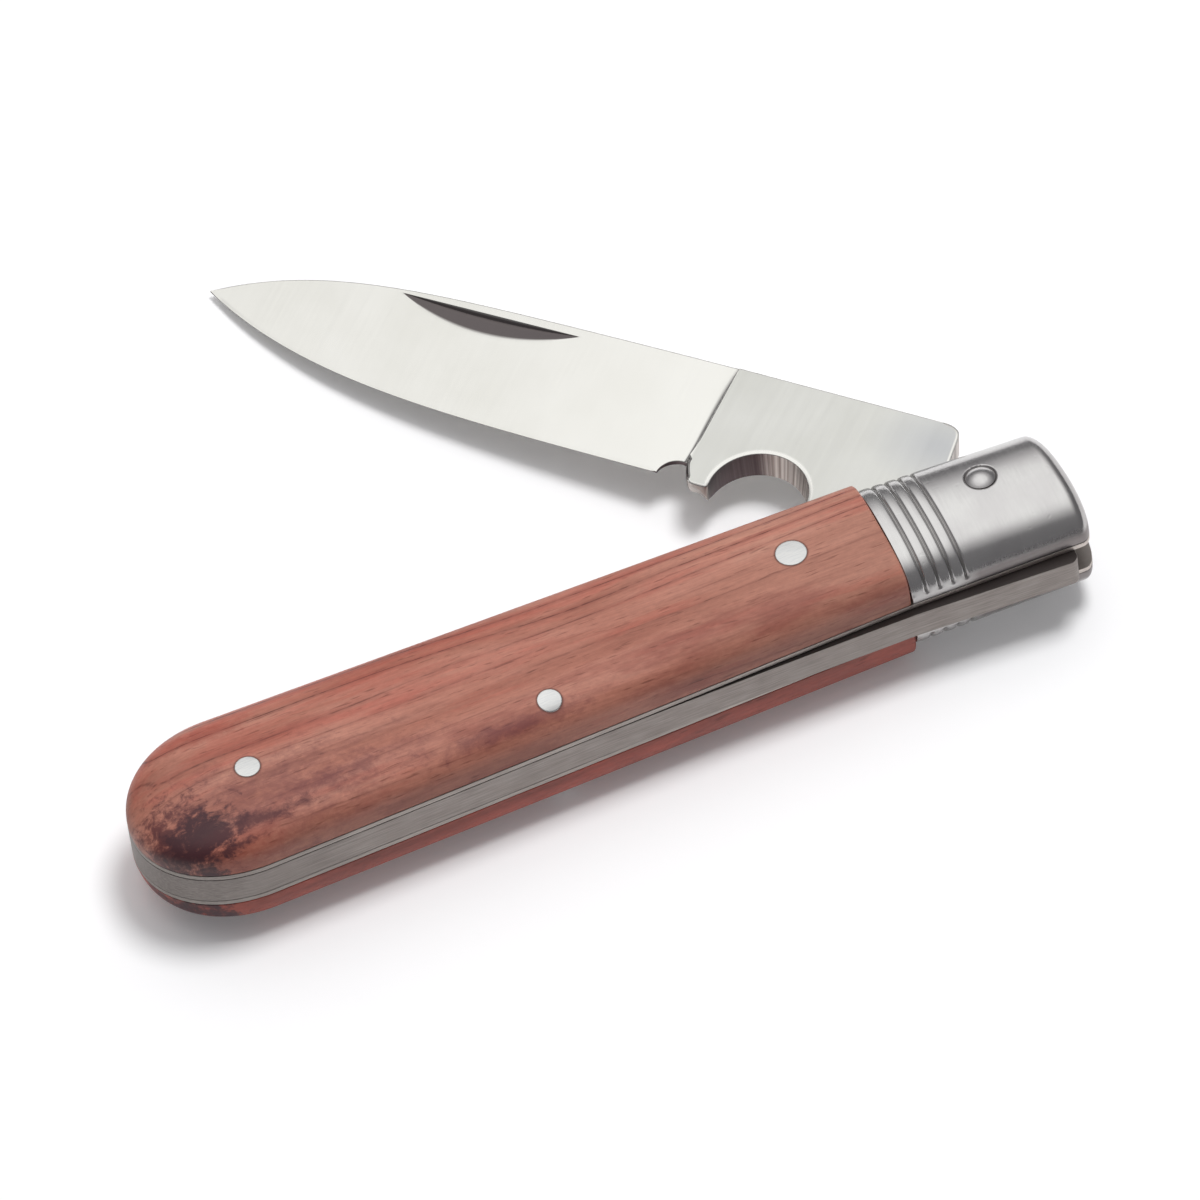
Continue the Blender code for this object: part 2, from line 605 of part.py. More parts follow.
def build():
    """Build every piece of the knife under one empty."""
    clear_scene()
    root = bpy.data.objects.new("knife", None)
    bpy.context.scene.collection.objects.link(root)
    wood = make_material("rosewood", (0.36, 0.14, 0.09), 0.45, 0.0)
    sheet = make_material("polished_bolster_steel", (0.55, 0.54, 0.53), 0.22, 1.0)
    plate = make_material("ground_liner_steel", (0.38, 0.36, 0.34), 0.4, 1.0)
    strip = make_material("ground_spring_steel", (0.33, 0.32, 0.30), 0.42, 1.0)
    bright = make_material("polished_blade_steel", (0.78, 0.78, 0.76), 0.18, 1.0)
    light = make_material("pin_aluminium", (0.80, 0.80, 0.79), 0.35, 1.0)
    pieces = []
    for word, side in (("upper", 1), ("lower", -1)):
        pieces.append(make_scale(word + "_scale", side, root, wood))
        pieces.append(make_liner(word + "_liner", side, root, plate))
        pieces.append(make_bolster(word + "_bolster", side, root, sheet))
        pieces.append(make_short_pin(word + "_front_pin", side, root, light))
    pieces.append(make_spring(root, strip))
    pieces.append(make_blade(root, bright))
    pieces.append(make_rivet(root, sheet))
    pieces.append(make_through_pin("butt_pin", BUTT_PIN, BUTT_PIN_RADIUS, root, light))
    pieces.append(make_through_pin("spring_pin", SPRING_PIN, SPRING_PIN_RADIUS, root, light))
    centre_on_footprint(root, pieces)


build()
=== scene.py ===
# %% [markdown]
# # An electrician's cable knife
#
# The knife lies on its side with the blade swung part way out. Its working model, with the
# joint at the pivot, is already packed. This lesson dresses it: every part that shows is
# worked out again as a smooth surface on the same sizes, and gets its own finish.

import bmesh
import bpy
import numpy as np
from mathutils import Matrix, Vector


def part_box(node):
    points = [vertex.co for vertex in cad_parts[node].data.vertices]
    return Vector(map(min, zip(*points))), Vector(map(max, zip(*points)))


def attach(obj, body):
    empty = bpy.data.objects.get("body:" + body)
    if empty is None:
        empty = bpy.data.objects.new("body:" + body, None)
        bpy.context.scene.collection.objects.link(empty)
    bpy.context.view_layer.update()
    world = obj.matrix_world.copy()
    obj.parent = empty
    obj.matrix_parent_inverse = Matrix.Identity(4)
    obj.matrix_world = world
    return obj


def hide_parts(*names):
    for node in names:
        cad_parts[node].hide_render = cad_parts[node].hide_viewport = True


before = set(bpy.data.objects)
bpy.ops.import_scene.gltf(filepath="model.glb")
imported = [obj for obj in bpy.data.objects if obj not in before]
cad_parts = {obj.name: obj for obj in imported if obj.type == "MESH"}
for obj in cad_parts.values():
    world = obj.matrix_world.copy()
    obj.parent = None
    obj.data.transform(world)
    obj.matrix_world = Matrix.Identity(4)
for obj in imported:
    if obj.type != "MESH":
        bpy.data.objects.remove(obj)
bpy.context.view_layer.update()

print("packed parts:", ", ".join(sorted(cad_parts)))

# %% [markdown]
# ## The knife's own frame
#
# Sizes are easiest to read in millimetres from the pivot: x runs along the handle towards
# the bolsters, y towards the edge that the blade folds into, and z is 0 in the middle of
# the blade's thickness. The pivot rivet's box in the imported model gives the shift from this
# frame to the scene. The blade has a frame of its own, from the pivot towards its tip, and
# is turned by its opening angle. The turn could be left to the object, but a finished piece
# keeps its place in its mesh, so the points are turned instead.

# %% From millimetres on the knife to metres in the scene
PIVOT_ABOVE_CENTRE = 1.5
BLADE_ANGLE = np.radians(134.0)
rivet_low, rivet_high = (np.array(corner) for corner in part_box("pivot_rivet"))
PIVOT_PLACE = (rivet_low + rivet_high) * 500.0
KNIFE_PLACE = PIVOT_PLACE - (0.0, PIVOT_ABOVE_CENTRE, 0.0)


def from_knife(points):
    """Scene place of points given in the knife's frame: shift, then millimetres to metres."""
    return (points + KNIFE_PLACE) / 1000.0


def from_blade(points):
    """Scene place of points in the blade's frame: turn about the pivot, then shift."""
    cosine, sine = np.cos(BLADE_ANGLE), np.sin(BLADE_ANGLE)
    turn = np.array([[cosine, sine, 0.0], [-sine, cosine, 0.0], [0.0, 0.0, 1.0]])
    return (points @ turn + PIVOT_PLACE) / 1000.0


print("pivot at", PIVOT_PLACE.round(2), "mm")

# %% [markdown]
# ## From a grid of numbers to a piece
#
# Each piece starts as a grid of points: one direction runs along the part and the other
# goes round it. Four neighbours make a face. Where a row shrinks to one point, as at a
# pin's crown, the doubles are merged, so the skin has no open seam.

# %% Grid faces and pieces
MERGE_WITHIN = 2e-7


def grid_faces(rows, columns, wrap=False):
    """Four neighbours to a face: cell (i, j) joins rows i and i+1, columns j and j+1."""
    i, j = np.mgrid[0:rows - 1, 0:columns if wrap else columns - 1]
    after = (j + 1) % columns
    corners = [i * columns + j, (i + 1) * columns + j, (i + 1) * columns + after,
               i * columns + after]
    return np.stack(corners, -1).reshape(-1, 4).tolist()


def make_piece(name, points, faces, body, node, slot, material, sharp=20.0, **marks):
    """Put points and faces into a mesh, merge doubles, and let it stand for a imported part.
    Marks are one value for each point, which the finish can read by name."""
    mesh = bpy.data.meshes.new(name)
    mesh.from_pydata(points.reshape(-1, 3).tolist(), [], faces)
    mesh.materials.append(material)
    for label, values in marks.items():
        mesh.attributes.new(label, "FLOAT", "POINT").data.foreach_set(
            "value", values.astype(np.float32).ravel())
    shape = bmesh.new()
    shape.from_mesh(mesh)
    bmesh.ops.remove_doubles(shape, verts=shape.verts, dist=MERGE_WITHIN)
    bmesh.ops.recalc_face_normals(shape, faces=shape.faces)
    shape.to_mesh(mesh)
    shape.free()
    mesh.shade_smooth()
    mesh.set_sharp_from_angle(angle=np.radians(sharp))
    item = bpy.data.objects.new(name, mesh)
    bpy.context.scene.collection.objects.link(item)
    even = item.modifiers.new("even_shading", "WEIGHTED_NORMAL")
    even.keep_sharp = True
    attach(item, body)
    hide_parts(node)
    print(f"{name}: {sum(len(face.vertices) - 2 for face in mesh.polygons)} triangles")


# %% [markdown]
# ## The handle's form
#
# The handle is a rounded bar. Its outline widens gently from the bolster to the butt, and
# the butt is a long round end. Its section is a superellipse, a curve between an ellipse
# and a rectangle: the wood is fuller, with a nearly flat top and quick shoulders, and the
# pressed steel bolster is rounder. One set of functions gives the surface for both.

# %% Sizes of the handle
PIVOT_TO_BUTT = 100.7
PIVOT_TO_FRONT = 9.29
PIVOT_TO_WOOD = 12.5
BUTT_ROUND = 12.0
FRONT_ROUND = 2.3
FRONT_SLANT = 0.35
BUTT_HALF = 10.05
WAIST_HALF = 8.2
FRONT_BACK_HALF = 8.6
FRONT_BELLY_HALF = 7.1
BUTT_POWER = 2.1
FRONT_POWER = 2.33
WOOD_POWER = 3.65
BOLSTER_POWERS = (2.4, 2.3)
WOOD_RISES = (4.6, 5.15)
BOLSTER_RISES = (4.8, 4.5)
STOCK_HALF = 1.7
CHANNEL_HALF = 1.8
LINER_TOP = 2.38
SEAT = 2.4
BUTT_START = BUTT_ROUND - PIVOT_TO_BUTT
FRONT_START = PIVOT_TO_FRONT - FRONT_ROUND


def mix(start, end, share):
    """The value a share of the way from start to end."""
    return start + (end - start) * share


def share_of(value, start, end):
    """How far a value is on its way from start to end, held between 0 and 1."""
    return np.clip((value - start) / (end - start), 0.0, 1.0)


def soft_share(value, start, end):
    """The same with a soft start and end: 3 s^2 - 2 s^3."""
    share = share_of(value, start, end)
    return share ** 2 * (3.0 - 2.0 * share)


def quarter_round(share):
    """How deep a quarter round of size 1 lies, from 0 on the flat to 1 at its edge."""
    return 1.0 - np.sqrt(1.0 - share ** 2)


def along_wood(x):
    """0 where the butt's rounding starts, 1 where the wood meets the bolster."""
    return share_of(x, BUTT_START, -PIVOT_TO_WOOD)


def along_bolster(x):
    """0 where the bolster meets the wood, 1 at its front end."""
    return share_of(x, -PIVOT_TO_WOOD, PIVOT_TO_FRONT)


def end_factor(x):
    """Share of the full section left in the round ends: the p-th root of 1 - depth^p."""
    left = 1.0
    for start, end, power in ((BUTT_START, -PIVOT_TO_BUTT, BUTT_POWER),
                              (FRONT_START, PIVOT_TO_FRONT, FRONT_POWER)):
        left = left * (1.0 - share_of(x, start, end) ** power) ** (1.0 / power)
    return left


def half_widths(x):
    """Distances from the centre line to the back edge and to the belly edge."""
    taper = mix(BUTT_HALF, WAIST_HALF, along_wood(x))
    back = taper + (FRONT_BACK_HALF - WAIST_HALF) * along_bolster(x)
    belly = taper + (FRONT_BELLY_HALF - WAIST_HALF) * along_bolster(x)
    return back * end_factor(x), belly * end_factor(x)


def rise_and_power(x, is_wood):
    """Height of the crown above its seat, and the power of its superellipse."""
    if is_wood:
        return mix(*WOOD_RISES, along_wood(x)) * end_factor(x), WOOD_POWER
    rise = mix(*BOLSTER_RISES, along_bolster(x)) * end_factor(x)
    return rise, mix(*BOLSTER_POWERS, along_bolster(x))


def slanted(x, y):
    """X moved for the front end, which is cut back a little towards the belly."""
    return x - FRONT_SLANT * along_bolster(x) * y / FRONT_BELLY_HALF


def crown_height(x, y, is_wood):
    """Height of the outer surface at (x, y): seat + rise * (1 - across^p)^(1/p)."""
    back, belly = half_widths(x)
    rise, power = rise_and_power(x, is_wood)
    across = np.clip(np.abs(y) / np.where(y < 0, back, belly), 0.0, 1.0)
    return SEAT + rise * (1.0 - across ** power) ** (1.0 / power)


print("handle:", PIVOT_TO_BUTT + PIVOT_TO_FRONT, "mm long")


# %% Sections of the crown
PLAIN_BAND = (0.75, 1.3)


def crown_sections(places, steps, is_wood, inset=0.0, groove=0.0, ease=0.12):
    """Grid of points, places along by steps round. A point at angle a of a section lies at
    r (cos a, sin a), with r = (|cos a|^p + |sin a|^p)^(-1/p), scaled to half width and rise.
    Inset and groove sink it, and the edge at the seat is eased by a small round."""
    x = np.asarray(places, float)[:, None]
    angle = np.linspace(0.0, np.pi, steps)[None, :]
    back, belly = half_widths(x)
    rise, power = rise_and_power(x, is_wood)
    cosine, sine = np.cos(angle), np.clip(np.sin(angle), 0.0, 1.0)
    radius = (np.abs(cosine) ** power + sine ** power) ** (-1.0 / power)
    along, up = radius * cosine, radius * sine
    height = rise * up
    # Grooves fade out where the crown comes down to the plain band.
    sunk = (np.reshape(inset, (-1, 1))
            + np.reshape(groove, (-1, 1)) * soft_share(height, *PLAIN_BAND))
    y = along * (np.where(along > 0, belly, back) - sunk)
    round_off = ease * quarter_round(share_of(height, ease, 0.0)) * end_factor(x)
    y = np.sign(y) * np.clip(np.abs(y) - round_off, 0.0, None)
    z = SEAT + (rise - sunk) * up
    return np.stack([slanted(x, y), y, z], -1)


def round_end(start, length, direction, power, steps):
    """Places through a round end, spread evenly over its curve."""
    angle = np.linspace(0.0, np.pi / 2, steps)[1:]
    radius = (np.sin(angle) ** power + np.cos(angle) ** power) ** (-1.0 / power)
    return start + direction * length * np.clip(radius * np.sin(angle), 0.0, 1.0)


def capped(grid):
    """Faces of a grid of rings, with the first ring closed by a flat cap."""
    return grid_faces(*grid.shape[:2], wrap=True) + [list(range(grid.shape[1]))]


print("section at the waist:", crown_sections([-30.0], 9, True)[0].round(2)[4], "is its top")

# %% [markdown]
# ## Colours and nodes
#
# Colours are written as the hex values that a screen shows, and one function turns them to
# the linear light that the renderer counts in. One more adds a node with its settings,
# values and links. All finishes read Object coordinates, turned into millimetres on the
# knife or on the blade, so a pattern's size can be set from the real one.

# %% Colour, node and coordinate helpers
def linear(code):
    """Linear RGBA of an sRGB hex colour: ((c + 0.055) / 1.055)^2.4, or c / 12.92 if dark."""
    value = np.array([int(code[i:i + 2], 16) for i in (1, 3, 5)]) / 255.0
    light = np.where(value <= 0.04045, value / 12.92, ((value + 0.055) / 1.055) ** 2.4)
    return (*light.tolist(), 1.0)


def add(tree, kind, inputs=(), out=0, stops=(), **settings):
    """Add a node and return its output. A kind may carry an operation, as in Math.ADD. Inputs
    are values, hex colours or sockets to link, in the node's own order or by key. Settings
    are its properties, stops those of a ramp."""
    kind, _, operation = kind.partition(".")
    node = tree.nodes.new("ShaderNode" + kind)
    if operation:
        node.operation = operation
    for label, value in settings.items():
        setattr(node, label, value)
    for key, value in inputs.items() if isinstance(inputs, dict) else enumerate(inputs):
        if isinstance(value, bpy.types.NodeSocket):
            tree.links.new(value, node.inputs[key])
        else:
            node.inputs[key].default_value = linear(value) if isinstance(value, str) else value
    for index, (place, code) in enumerate(stops):
        scale = node.color_ramp.elements
        element = scale[index] if index < len(scale) else scale.new(place)
        element.position, element.color = place, linear(code)
    return node.outputs[out]


def coat(tree, colour, *layers):
    """Lay colours over a colour. Each layer is a mask and the colour that shows in it."""
    for mask, over in layers:
        colour = add(tree, "Mix", {0: mask, 6: colour, 7: over}, 2, data_type="RGBA")
    return colour


def start_material(name, on_blade=False, **sockets):
    """A Principled material, its tree, and millimetres on the knife or the blade: as one
    vector and as its three parts."""
    material = bpy.data.materials.new(name)
    material.use_nodes = True
    tree = material.node_tree
    for label, value in sockets.items():
        tree.nodes["Principled BSDF"].inputs[label.replace("_", " ")].default_value = value
    place = PIVOT_PLACE if on_blade else KNIFE_PLACE
    angle = BLADE_ANGLE if on_blade else 0.0
    spot = add(tree, "Mapping", (add(tree, "TexCoord", out="Object"), tuple(place / 1000.0),
                                 (0.0, 0.0, angle), (0.001,) * 3), vector_type="TEXTURE")
    return material, tree, spot, add(tree, "SeparateXYZ", (spot,), slice(None))


def finish_material(material, colour, rough, height, strength, depth):
    """Link colour and roughness to the shader, and the height as a bump some metres deep."""
    tree = material.node_tree
    bump = add(tree, "Bump", {"Height": height, "Strength": strength, "Distance": depth})
    for label, value in (("Base Color", colour), ("Roughness", rough), ("Normal", bump)):
        tree.links.new(value, tree.nodes["Principled BSDF"].inputs[label])
    return material


print("mid wood colour in linear light:", np.round(linear("#a5654f")[:3], 3))

# %% [markdown]
# ## The wood
#
# The scales are a reddish tropical hardwood, sanded, oiled and worn smooth by hands. The eye
# sees three things: slow bands of lighter and redder wood, thin dark growth lines that run
# the whole length, and short dark pores, which are cut vessels about 0.1 mm wide and some
# millimetres long. One noise could be tinted for all of it, but each has its own size, so
# each is its own noise, stretched along the grain. Near the butt the real handle has a dark
# figured spot, and darker streaks lie along its back edge. Both are made here of soft ovals
# that a coarser, curling noise makes ragged.

# %% Tones of the wood
def grain(tree, spot, stretch, scale, detail=2.0, seed=0.0, rough=0.5):
    """Noise on the knife's millimetres, with features `stretch` times longer along x."""
    vector = add(tree, "Mapping", (spot, (seed, seed * 1.7, 0.0), (0.0,) * 3,
                                   (1.0 / stretch, 1.0, 1.0)))
    return add(tree, "TexNoise", {"Vector": vector, "Scale": scale, "Detail": detail,
                                  "Roughness": rough})


def wood_tones(tree, bent, axes):
    """Slow bands from dull to pale, redder streaks, a pale front end and a redder far scale."""
    x, y, z = axes
    bands = grain(tree, bent, 6.0, 0.17, 5.0, 3.0, 0.6)
    colour = add(tree, "ValToRGB", (bands,), stops=[
        (0.30, "#935a4b"), (0.44, "#a46a59"), (0.56, "#b07665"), (0.70, "#bc8673")])
    # Towards the bolster the wood is paler.
    front = add(tree, "MapRange", (x, -46.0, -16.0, 0.0, 0.4))
    # Redder streaks lie along the belly edge, and the lower scale is redder all over.
    streak = grain(tree, bent, 9.0, 0.34, 5.0, 31.0, 0.6)
    edge = add(tree, "MapRange", (y, -4.0, 9.0, -0.04, 0.13))
    redness = add(tree, "Math.ADD", (streak, edge))
    redness = add(tree, "MapRange", (redness, 0.52, 0.70, 0.0, 0.38))
    below = add(tree, "MapRange", (z, 0.5, -0.5, 0.0, 0.72))
    redness = add(tree, "Math.MAXIMUM", (redness, below))
    # Purple-brown clouds lie along the back edge.
    cloud = grain(tree, bent, 3.2, 0.24, 6.0, 41.0, 0.65)
    side = add(tree, "MapRange", (y, 2.0, -8.0, -0.12, 0.10))
    cloud = add(tree, "Math.ADD", (cloud, side))
    cloud = add(tree, "MapRange", (cloud, 0.52, 0.68, 0.0, 0.55))
    colour = coat(tree, colour, (front, "#b18472"), (redness, "#aa4236"), (cloud, "#84463d"))
    return colour, bands


# %% Growth lines and pores
def growth_lines(tree, bent):
    """Strength of thin dark lines where a slow sum y/2.4 + noise passes a whole number."""
    y = add(tree, "SeparateXYZ", (bent,), "Y")
    slow = grain(tree, bent, 26.0, 0.11, 2.0, 11.0)
    level = add(tree, "Math.MULTIPLY", (slow, 5.0))
    level = add(tree, "Math.MULTIPLY_ADD", (y, 0.42, level))
    away = add(tree, "Math.PINGPONG", (level, 0.5))
    thin = add(tree, "MapRange", (away, 0.015, 0.09, 1.0, 0.0))
    soft = add(tree, "MapRange", (away, 0.0, 0.3, 0.34, 0.0))
    # Each line fades in and out, and is made of dots, because it is a row of vessels.
    present = add(tree, "MapRange", (grain(tree, bent, 10.0, 0.32, 2.0, 5.0), 0.38, 0.52))
    dots = grain(tree, bent, 4.0, 2.6, 2.0, 13.0)
    dots = add(tree, "MapRange", (dots, 0.35, 0.6, 0.4, 0.95))
    line = add(tree, "Math.MULTIPLY", (thin, dots))
    line = add(tree, "Math.MAXIMUM", (line, soft))
    # They are strongest towards the belly edge, where the cut runs across the rings.
    for operation, *limits in (("MULTIPLY", -2.0, 6.0, 0.45, 1.0),
                               ("MAXIMUM", 1.0, 5.0, 0.0, 0.95)):
        edge = add(tree, "MapRange", (y, *limits))
        present = add(tree, "Math." + operation, (present, edge))
    return add(tree, "Math.MULTIPLY", (line, present))


def pores(tree, bent):
    """Dark dashes 0.15 mm wide and 1 to 2 mm long, drawn a little coarse to show."""
    return add(tree, "MapRange", (grain(tree, bent, 8.0, 3.4, 1.0, 17.0), 0.64, 0.76))


# %% Dark figure near the butt
# Centre and radii in millimetres, raggedness, softness, strength and colour of each spot.
DARK_SPOTS = (
    ((-59.0, -7.6, 0.0), (8.5, 0.9, 40.0), 3.6, 0.7, 0.55, "#63343a"),
    ((-74.5, -5.2, 0.0), (7.0, 1.5, 40.0), 4.4, 0.9, 0.40, "#6b3a3b"),
    ((-89.0, 6.6, 0.0), (4.5, 1.0, 40.0), 3.4, 0.7, 0.45, "#8e3a2e"),
    ((-88.5, -4.6, 0.0), (13.0, 4.8, 40.0), 4.0, 0.8, 0.50, "#6b3a3b"),
    ((-92.0, -8.8, 0.0), (5.5, 2.0, 40.0), 2.0, 0.5, 0.35, "#a04a38"),
    ((-97.0, -5.2, 0.0), (5.0, 4.4, 40.0), 4.6, 0.5, 0.80, "#542a2d"),
    ((-94.6, -5.9, 0.0), (4.6, 2.9, 40.0), 2.6, 0.4, 0.92, "#3f2228"),
    ((-88.6, -6.9, 0.0), (5.6, 0.9, 40.0), 3.4, 0.6, 0.80, "#4f272b"),
    ((-92.6, -8.7, 0.0), (4.0, 0.5, 40.0), 4.0, 0.6, 0.80, "#43242a"))


def distance(tree, spot, centre, radii):
    """Distance from a centre, counted along each axis in its own radius."""
    away = add(tree, "Mapping", (spot, centre, (0.0,) * 3, radii), vector_type="TEXTURE")
    return add(tree, "VectorMath.LENGTH", (away,), "Value")


def dark_figure(tree, spot, colour):
    """Ragged ovals: each shows where noise * amount is over the distance in radii. They make
    the purple-brown knot at the butt and the darker streaks along the back edge."""
    curl = add(tree, "TexNoise", {"Vector": spot, "Scale": 0.5, "Detail": 8.0,
                                  "Roughness": 0.72, "Distortion": 0.5})
    fine = grain(tree, spot, 2.0, 1.4, 5.0, 51.0, 0.7)
    ragged = add(tree, "Math.MULTIPLY_ADD", (fine, 0.5, curl))
    ragged = add(tree, "Math.SUBTRACT", (ragged, 0.25))
    for centre, radii, amount, soft, strength, code in DARK_SPOTS:
        mask = add(tree, "Math.MULTIPLY_ADD", (ragged, amount, 1.0 - amount / 2))
        away = distance(tree, spot, centre, radii)
        mask = add(tree, "Math.SUBTRACT", (mask, away))
        mask = add(tree, "MapRange", (mask, -soft / 2, soft, 0.0, strength))
        colour = coat(tree, colour, (mask, code))
    return colour


# %% Oiled rosewood
def oiled_rosewood(pins):
    """Reddish hardwood, sanded and oiled: bands, growth lines, pores and a dark figure."""
    material, tree, spot, axes = start_material("oiled_rosewood", IOR=1.5,
                                                Specular_IOR_Level=0.4)
    # The grain wanders by a few millimetres, so the coordinate is bent first.
    wander = grain(tree, spot, 4.0, 0.06, 2.0, 7.0)
    wander = add(tree, "MapRange", (wander, 0.0, 1.0, -2.5, 2.5))
    shift = add(tree, "CombineXYZ", (0.0, wander, wander))
    bent = add(tree, "VectorMath.ADD", (spot, shift))
    colour, bands = wood_tones(tree, bent, axes)
    line, pore = growth_lines(tree, bent), pores(tree, bent)
    shade = add(tree, "Math.MULTIPLY", (pore, 0.5))
    colour = coat(tree, colour, (line, "#5c2c26"), (shade, "#5a2d25"))
    # Fibres: fine light and dark, partly along the grain and partly as a mottle.
    fibre = grain(tree, bent, 22.0, 4.5, 3.0, 23.0)
    mottle = grain(tree, spot, 1.8, 2.2, 4.0, 27.0, 0.7)
    both = add(tree, "Math.ADD", (fibre, mottle))
    tint = add(tree, "MapRange", (both, 0.7, 1.3, 0.88, 1.14))
    colour = add(tree, "VectorMath.SCALE", {0: colour, "Scale": tint})
    colour = dark_figure(tree, spot, colour)
    # A dark ring in the joint round each pin, 0.1 mm wide.
    for x, y, radius in pins:
        away = distance(tree, spot, (x, y, 0.0), (1.0, 1.0, 1e6))
        ring = add(tree, "MapRange", (away, radius + 0.04, radius + 0.24, 0.65, 0.0))
        colour = coat(tree, colour, (ring, "#3c221c"))
    gloss = add(tree, "MapRange", (bands, 0.3, 0.7, 0.48, 0.38))
    # Pores and lines are open grain: they sink 0.02 mm, and fibres stand a few microns.
    pits = add(tree, "Math.ADD", (pore, line))
    relief = add(tree, "Math.MULTIPLY", (both, 0.4))
    relief = add(tree, "Math.SUBTRACT", (relief, pits))
    return finish_material(material, colour, gloss, relief, 0.6, 0.00002)


BUTT_PIN = (-86.75, 0.0, 1.4)
SPRING_PIN = (-54.0, -6.2, 1.35)
FRONT_PIN = (-22.75, 0.5, 1.75)
rosewood = oiled_rosewood([BUTT_PIN, SPRING_PIN, FRONT_PIN])
print(rosewood.name, "has", len(rosewood.node_tree.nodes), "nodes")

# %% [markdown]
# ## The two wooden scales
#
# A scale is a slab of wood shaped on a sander after it is pinned, so it flows into the
# liners without a step. It could be a box with a big bevel, but the section changes along
# the length and closes over the butt, so it is a stack of sections. Its front edge, which
# meets the bolster, is eased by 0.4 mm.

# %% Scales
WOOD_FRONT = -PIVOT_TO_WOOD - 0.1
FRONT_EASE = 0.4


def make_scale(name, side):
    """A stack of crown sections from the bolster to the butt, where it closes to a point."""
    eased = np.linspace(0.0, 1.0, 7)
    places = WOOD_FRONT - FRONT_EASE * eased
    inset = FRONT_EASE * quarter_round(1.0 - eased)
    straight = np.linspace(places[-1], BUTT_START, 130)[1:]
    rounded = round_end(BUTT_START, BUTT_ROUND, -1, BUTT_POWER, 60)
    places = np.concatenate([places, straight, rounded])
    inset = np.concatenate([inset, np.zeros(len(places) - len(inset))])
    grid = crown_sections(places, 121, True, inset)
    grid[..., 2] *= side
    make_piece(name + "_wood", from_knife(grid), capped(grid), "handle", name, "rosewood",
               rosewood)


make_scale("upper_scale", 1)
make_scale("lower_scale", -1)

# %% [markdown]
# ## Polished sheet steel
#
# The bolsters are pressed from steel sheet and polished on a soft wheel. Polished steel has
# hardly any colour of its own: what shows is the room, blurred a little by the polishing
# lines. The grooves are drawn darker and duller, and the rivet's seat ring gets a painted shade.

# %% Polished bolster steel
def streaks(tree, spot, squeeze, detail=3.0, rough=0.5):
    """Noise on the millimetres, squeezed along each axis: under 1 is a long feature."""
    thin = add(tree, "Mapping", {"Vector": spot, "Scale": squeeze})
    return add(tree, "TexNoise", {"Vector": thin, "Scale": 1.0, "Detail": detail,
                                  "Roughness": rough})


def polished_sheet_steel():
    """Pressed steel, wheel polished: grey metal, soft reflections, dark grooves, painted shade."""
    material, tree, spot, (x, y, z) = start_material("polished_sheet_steel", Metallic=1.0)
    cloud = add(tree, "TexNoise", {"Vector": spot, "Scale": 0.2, "Detail": 3.0})
    tone = add(tree, "ValToRGB", (cloud,), stops=[(0.35, "#cac8c7"), (0.65, "#d3d2d0")])
    # The groove mark: darker grooves, and painted shade in the seat's ring round the rivet.
    dark_grooves_and_seat_shade = add(tree, "Attribute", out="Fac", attribute_name="groove")
    # Painted shade: the foot of the shell is painted a darker brown grey, strongest beside the
    # rivet and along the belly, weaker under the grooves, and so is the rounded front end; it
    # stands in for the dim room that these slopes mirror. The foot is also rougher.
    height = add(tree, "Math.ABSOLUTE", (z,))
    belt = add(tree, "MapRange", (height, SEAT + 2.1, SEAT + 1.0),
               interpolation_type="SMOOTHSTEP")
    painted_dim_reflection = add(tree, "MapRange", (x, -7.5, -4.5, 0.25, 0.9))
    belly = add(tree, "MapRange", (y, 2.0, 5.0, 0.0, 0.9))
    rim = add(tree, "MapRange", (x, PIVOT_TO_FRONT - 1.9, PIVOT_TO_FRONT - 0.5, 0.0, 0.6))
    for other, operation in ((belly, "MAXIMUM"), (belt, "MULTIPLY"), (rim, "MAXIMUM")):
        painted_dim_reflection = add(tree, "Math." + operation, (painted_dim_reflection, other))
    tone = coat(tree, tone, (dark_grooves_and_seat_shade, "#4c4443"), (painted_dim_reflection, "#7b7473"))
    # Polishing lines run round the handle, about 0.08 mm apart, drawn at 0.15 mm to show.
    lines = streaks(tree, spot, (7.0, 0.35, 0.35), 4.0)
    rough = add(tree, "MapRange", (lines, 0.3, 0.7, 0.17, 0.27))
    for mask, more in ((dark_grooves_and_seat_shade, 0.3), (belt, 0.15)):
        rough = add(tree, "Math.MULTIPLY_ADD", (mask, more, rough))
    # A few small dents from use, 0.3 mm wide.
    dents = add(tree, "TexNoise", {"Vector": spot, "Scale": 1.6, "Detail": 0.0})
    dents = add(tree, "MapRange", (dents, 0.72, 0.82, 0.0, -1.0))
    height = add(tree, "Math.MULTIPLY_ADD", (lines, 0.12, dents))
    return finish_material(material, tone, rough, height, 0.16, 0.00003)


sheet_steel = polished_sheet_steel()

# %% [markdown]
# ## The grooved bolsters
#
# A bolster is a cup of sheet steel that guards the end of the handle and carries the rivet.
# Beside the wood it has four rolled grooves, with a soft bead between each pair. The
# grooves fade out above the joint with the liner, which leaves a plain band. A normal map
# could fake them, but their outline shows against the light, so they are in the surface:
# each section is sunk by a curve that depends on its distance to the nearest groove.

# %% Bolsters
GROOVE_PITCH = 1.53
GROOVES = -PIVOT_TO_WOOD + 1.75 + GROOVE_PITCH * np.arange(4)
GROOVE_DEPTH = 0.22
GROOVE_WIDTH = 0.17
BEAD_WIDTH = 0.8
BEAD_DEPTH = 0.08
BACK_EASE = 0.2
RIVET_SEAT = 1.82
RIVET_SEAT_DEPTH = 0.2
HEAD_RADIUS = 1.64
HEAD_RISE = 0.54


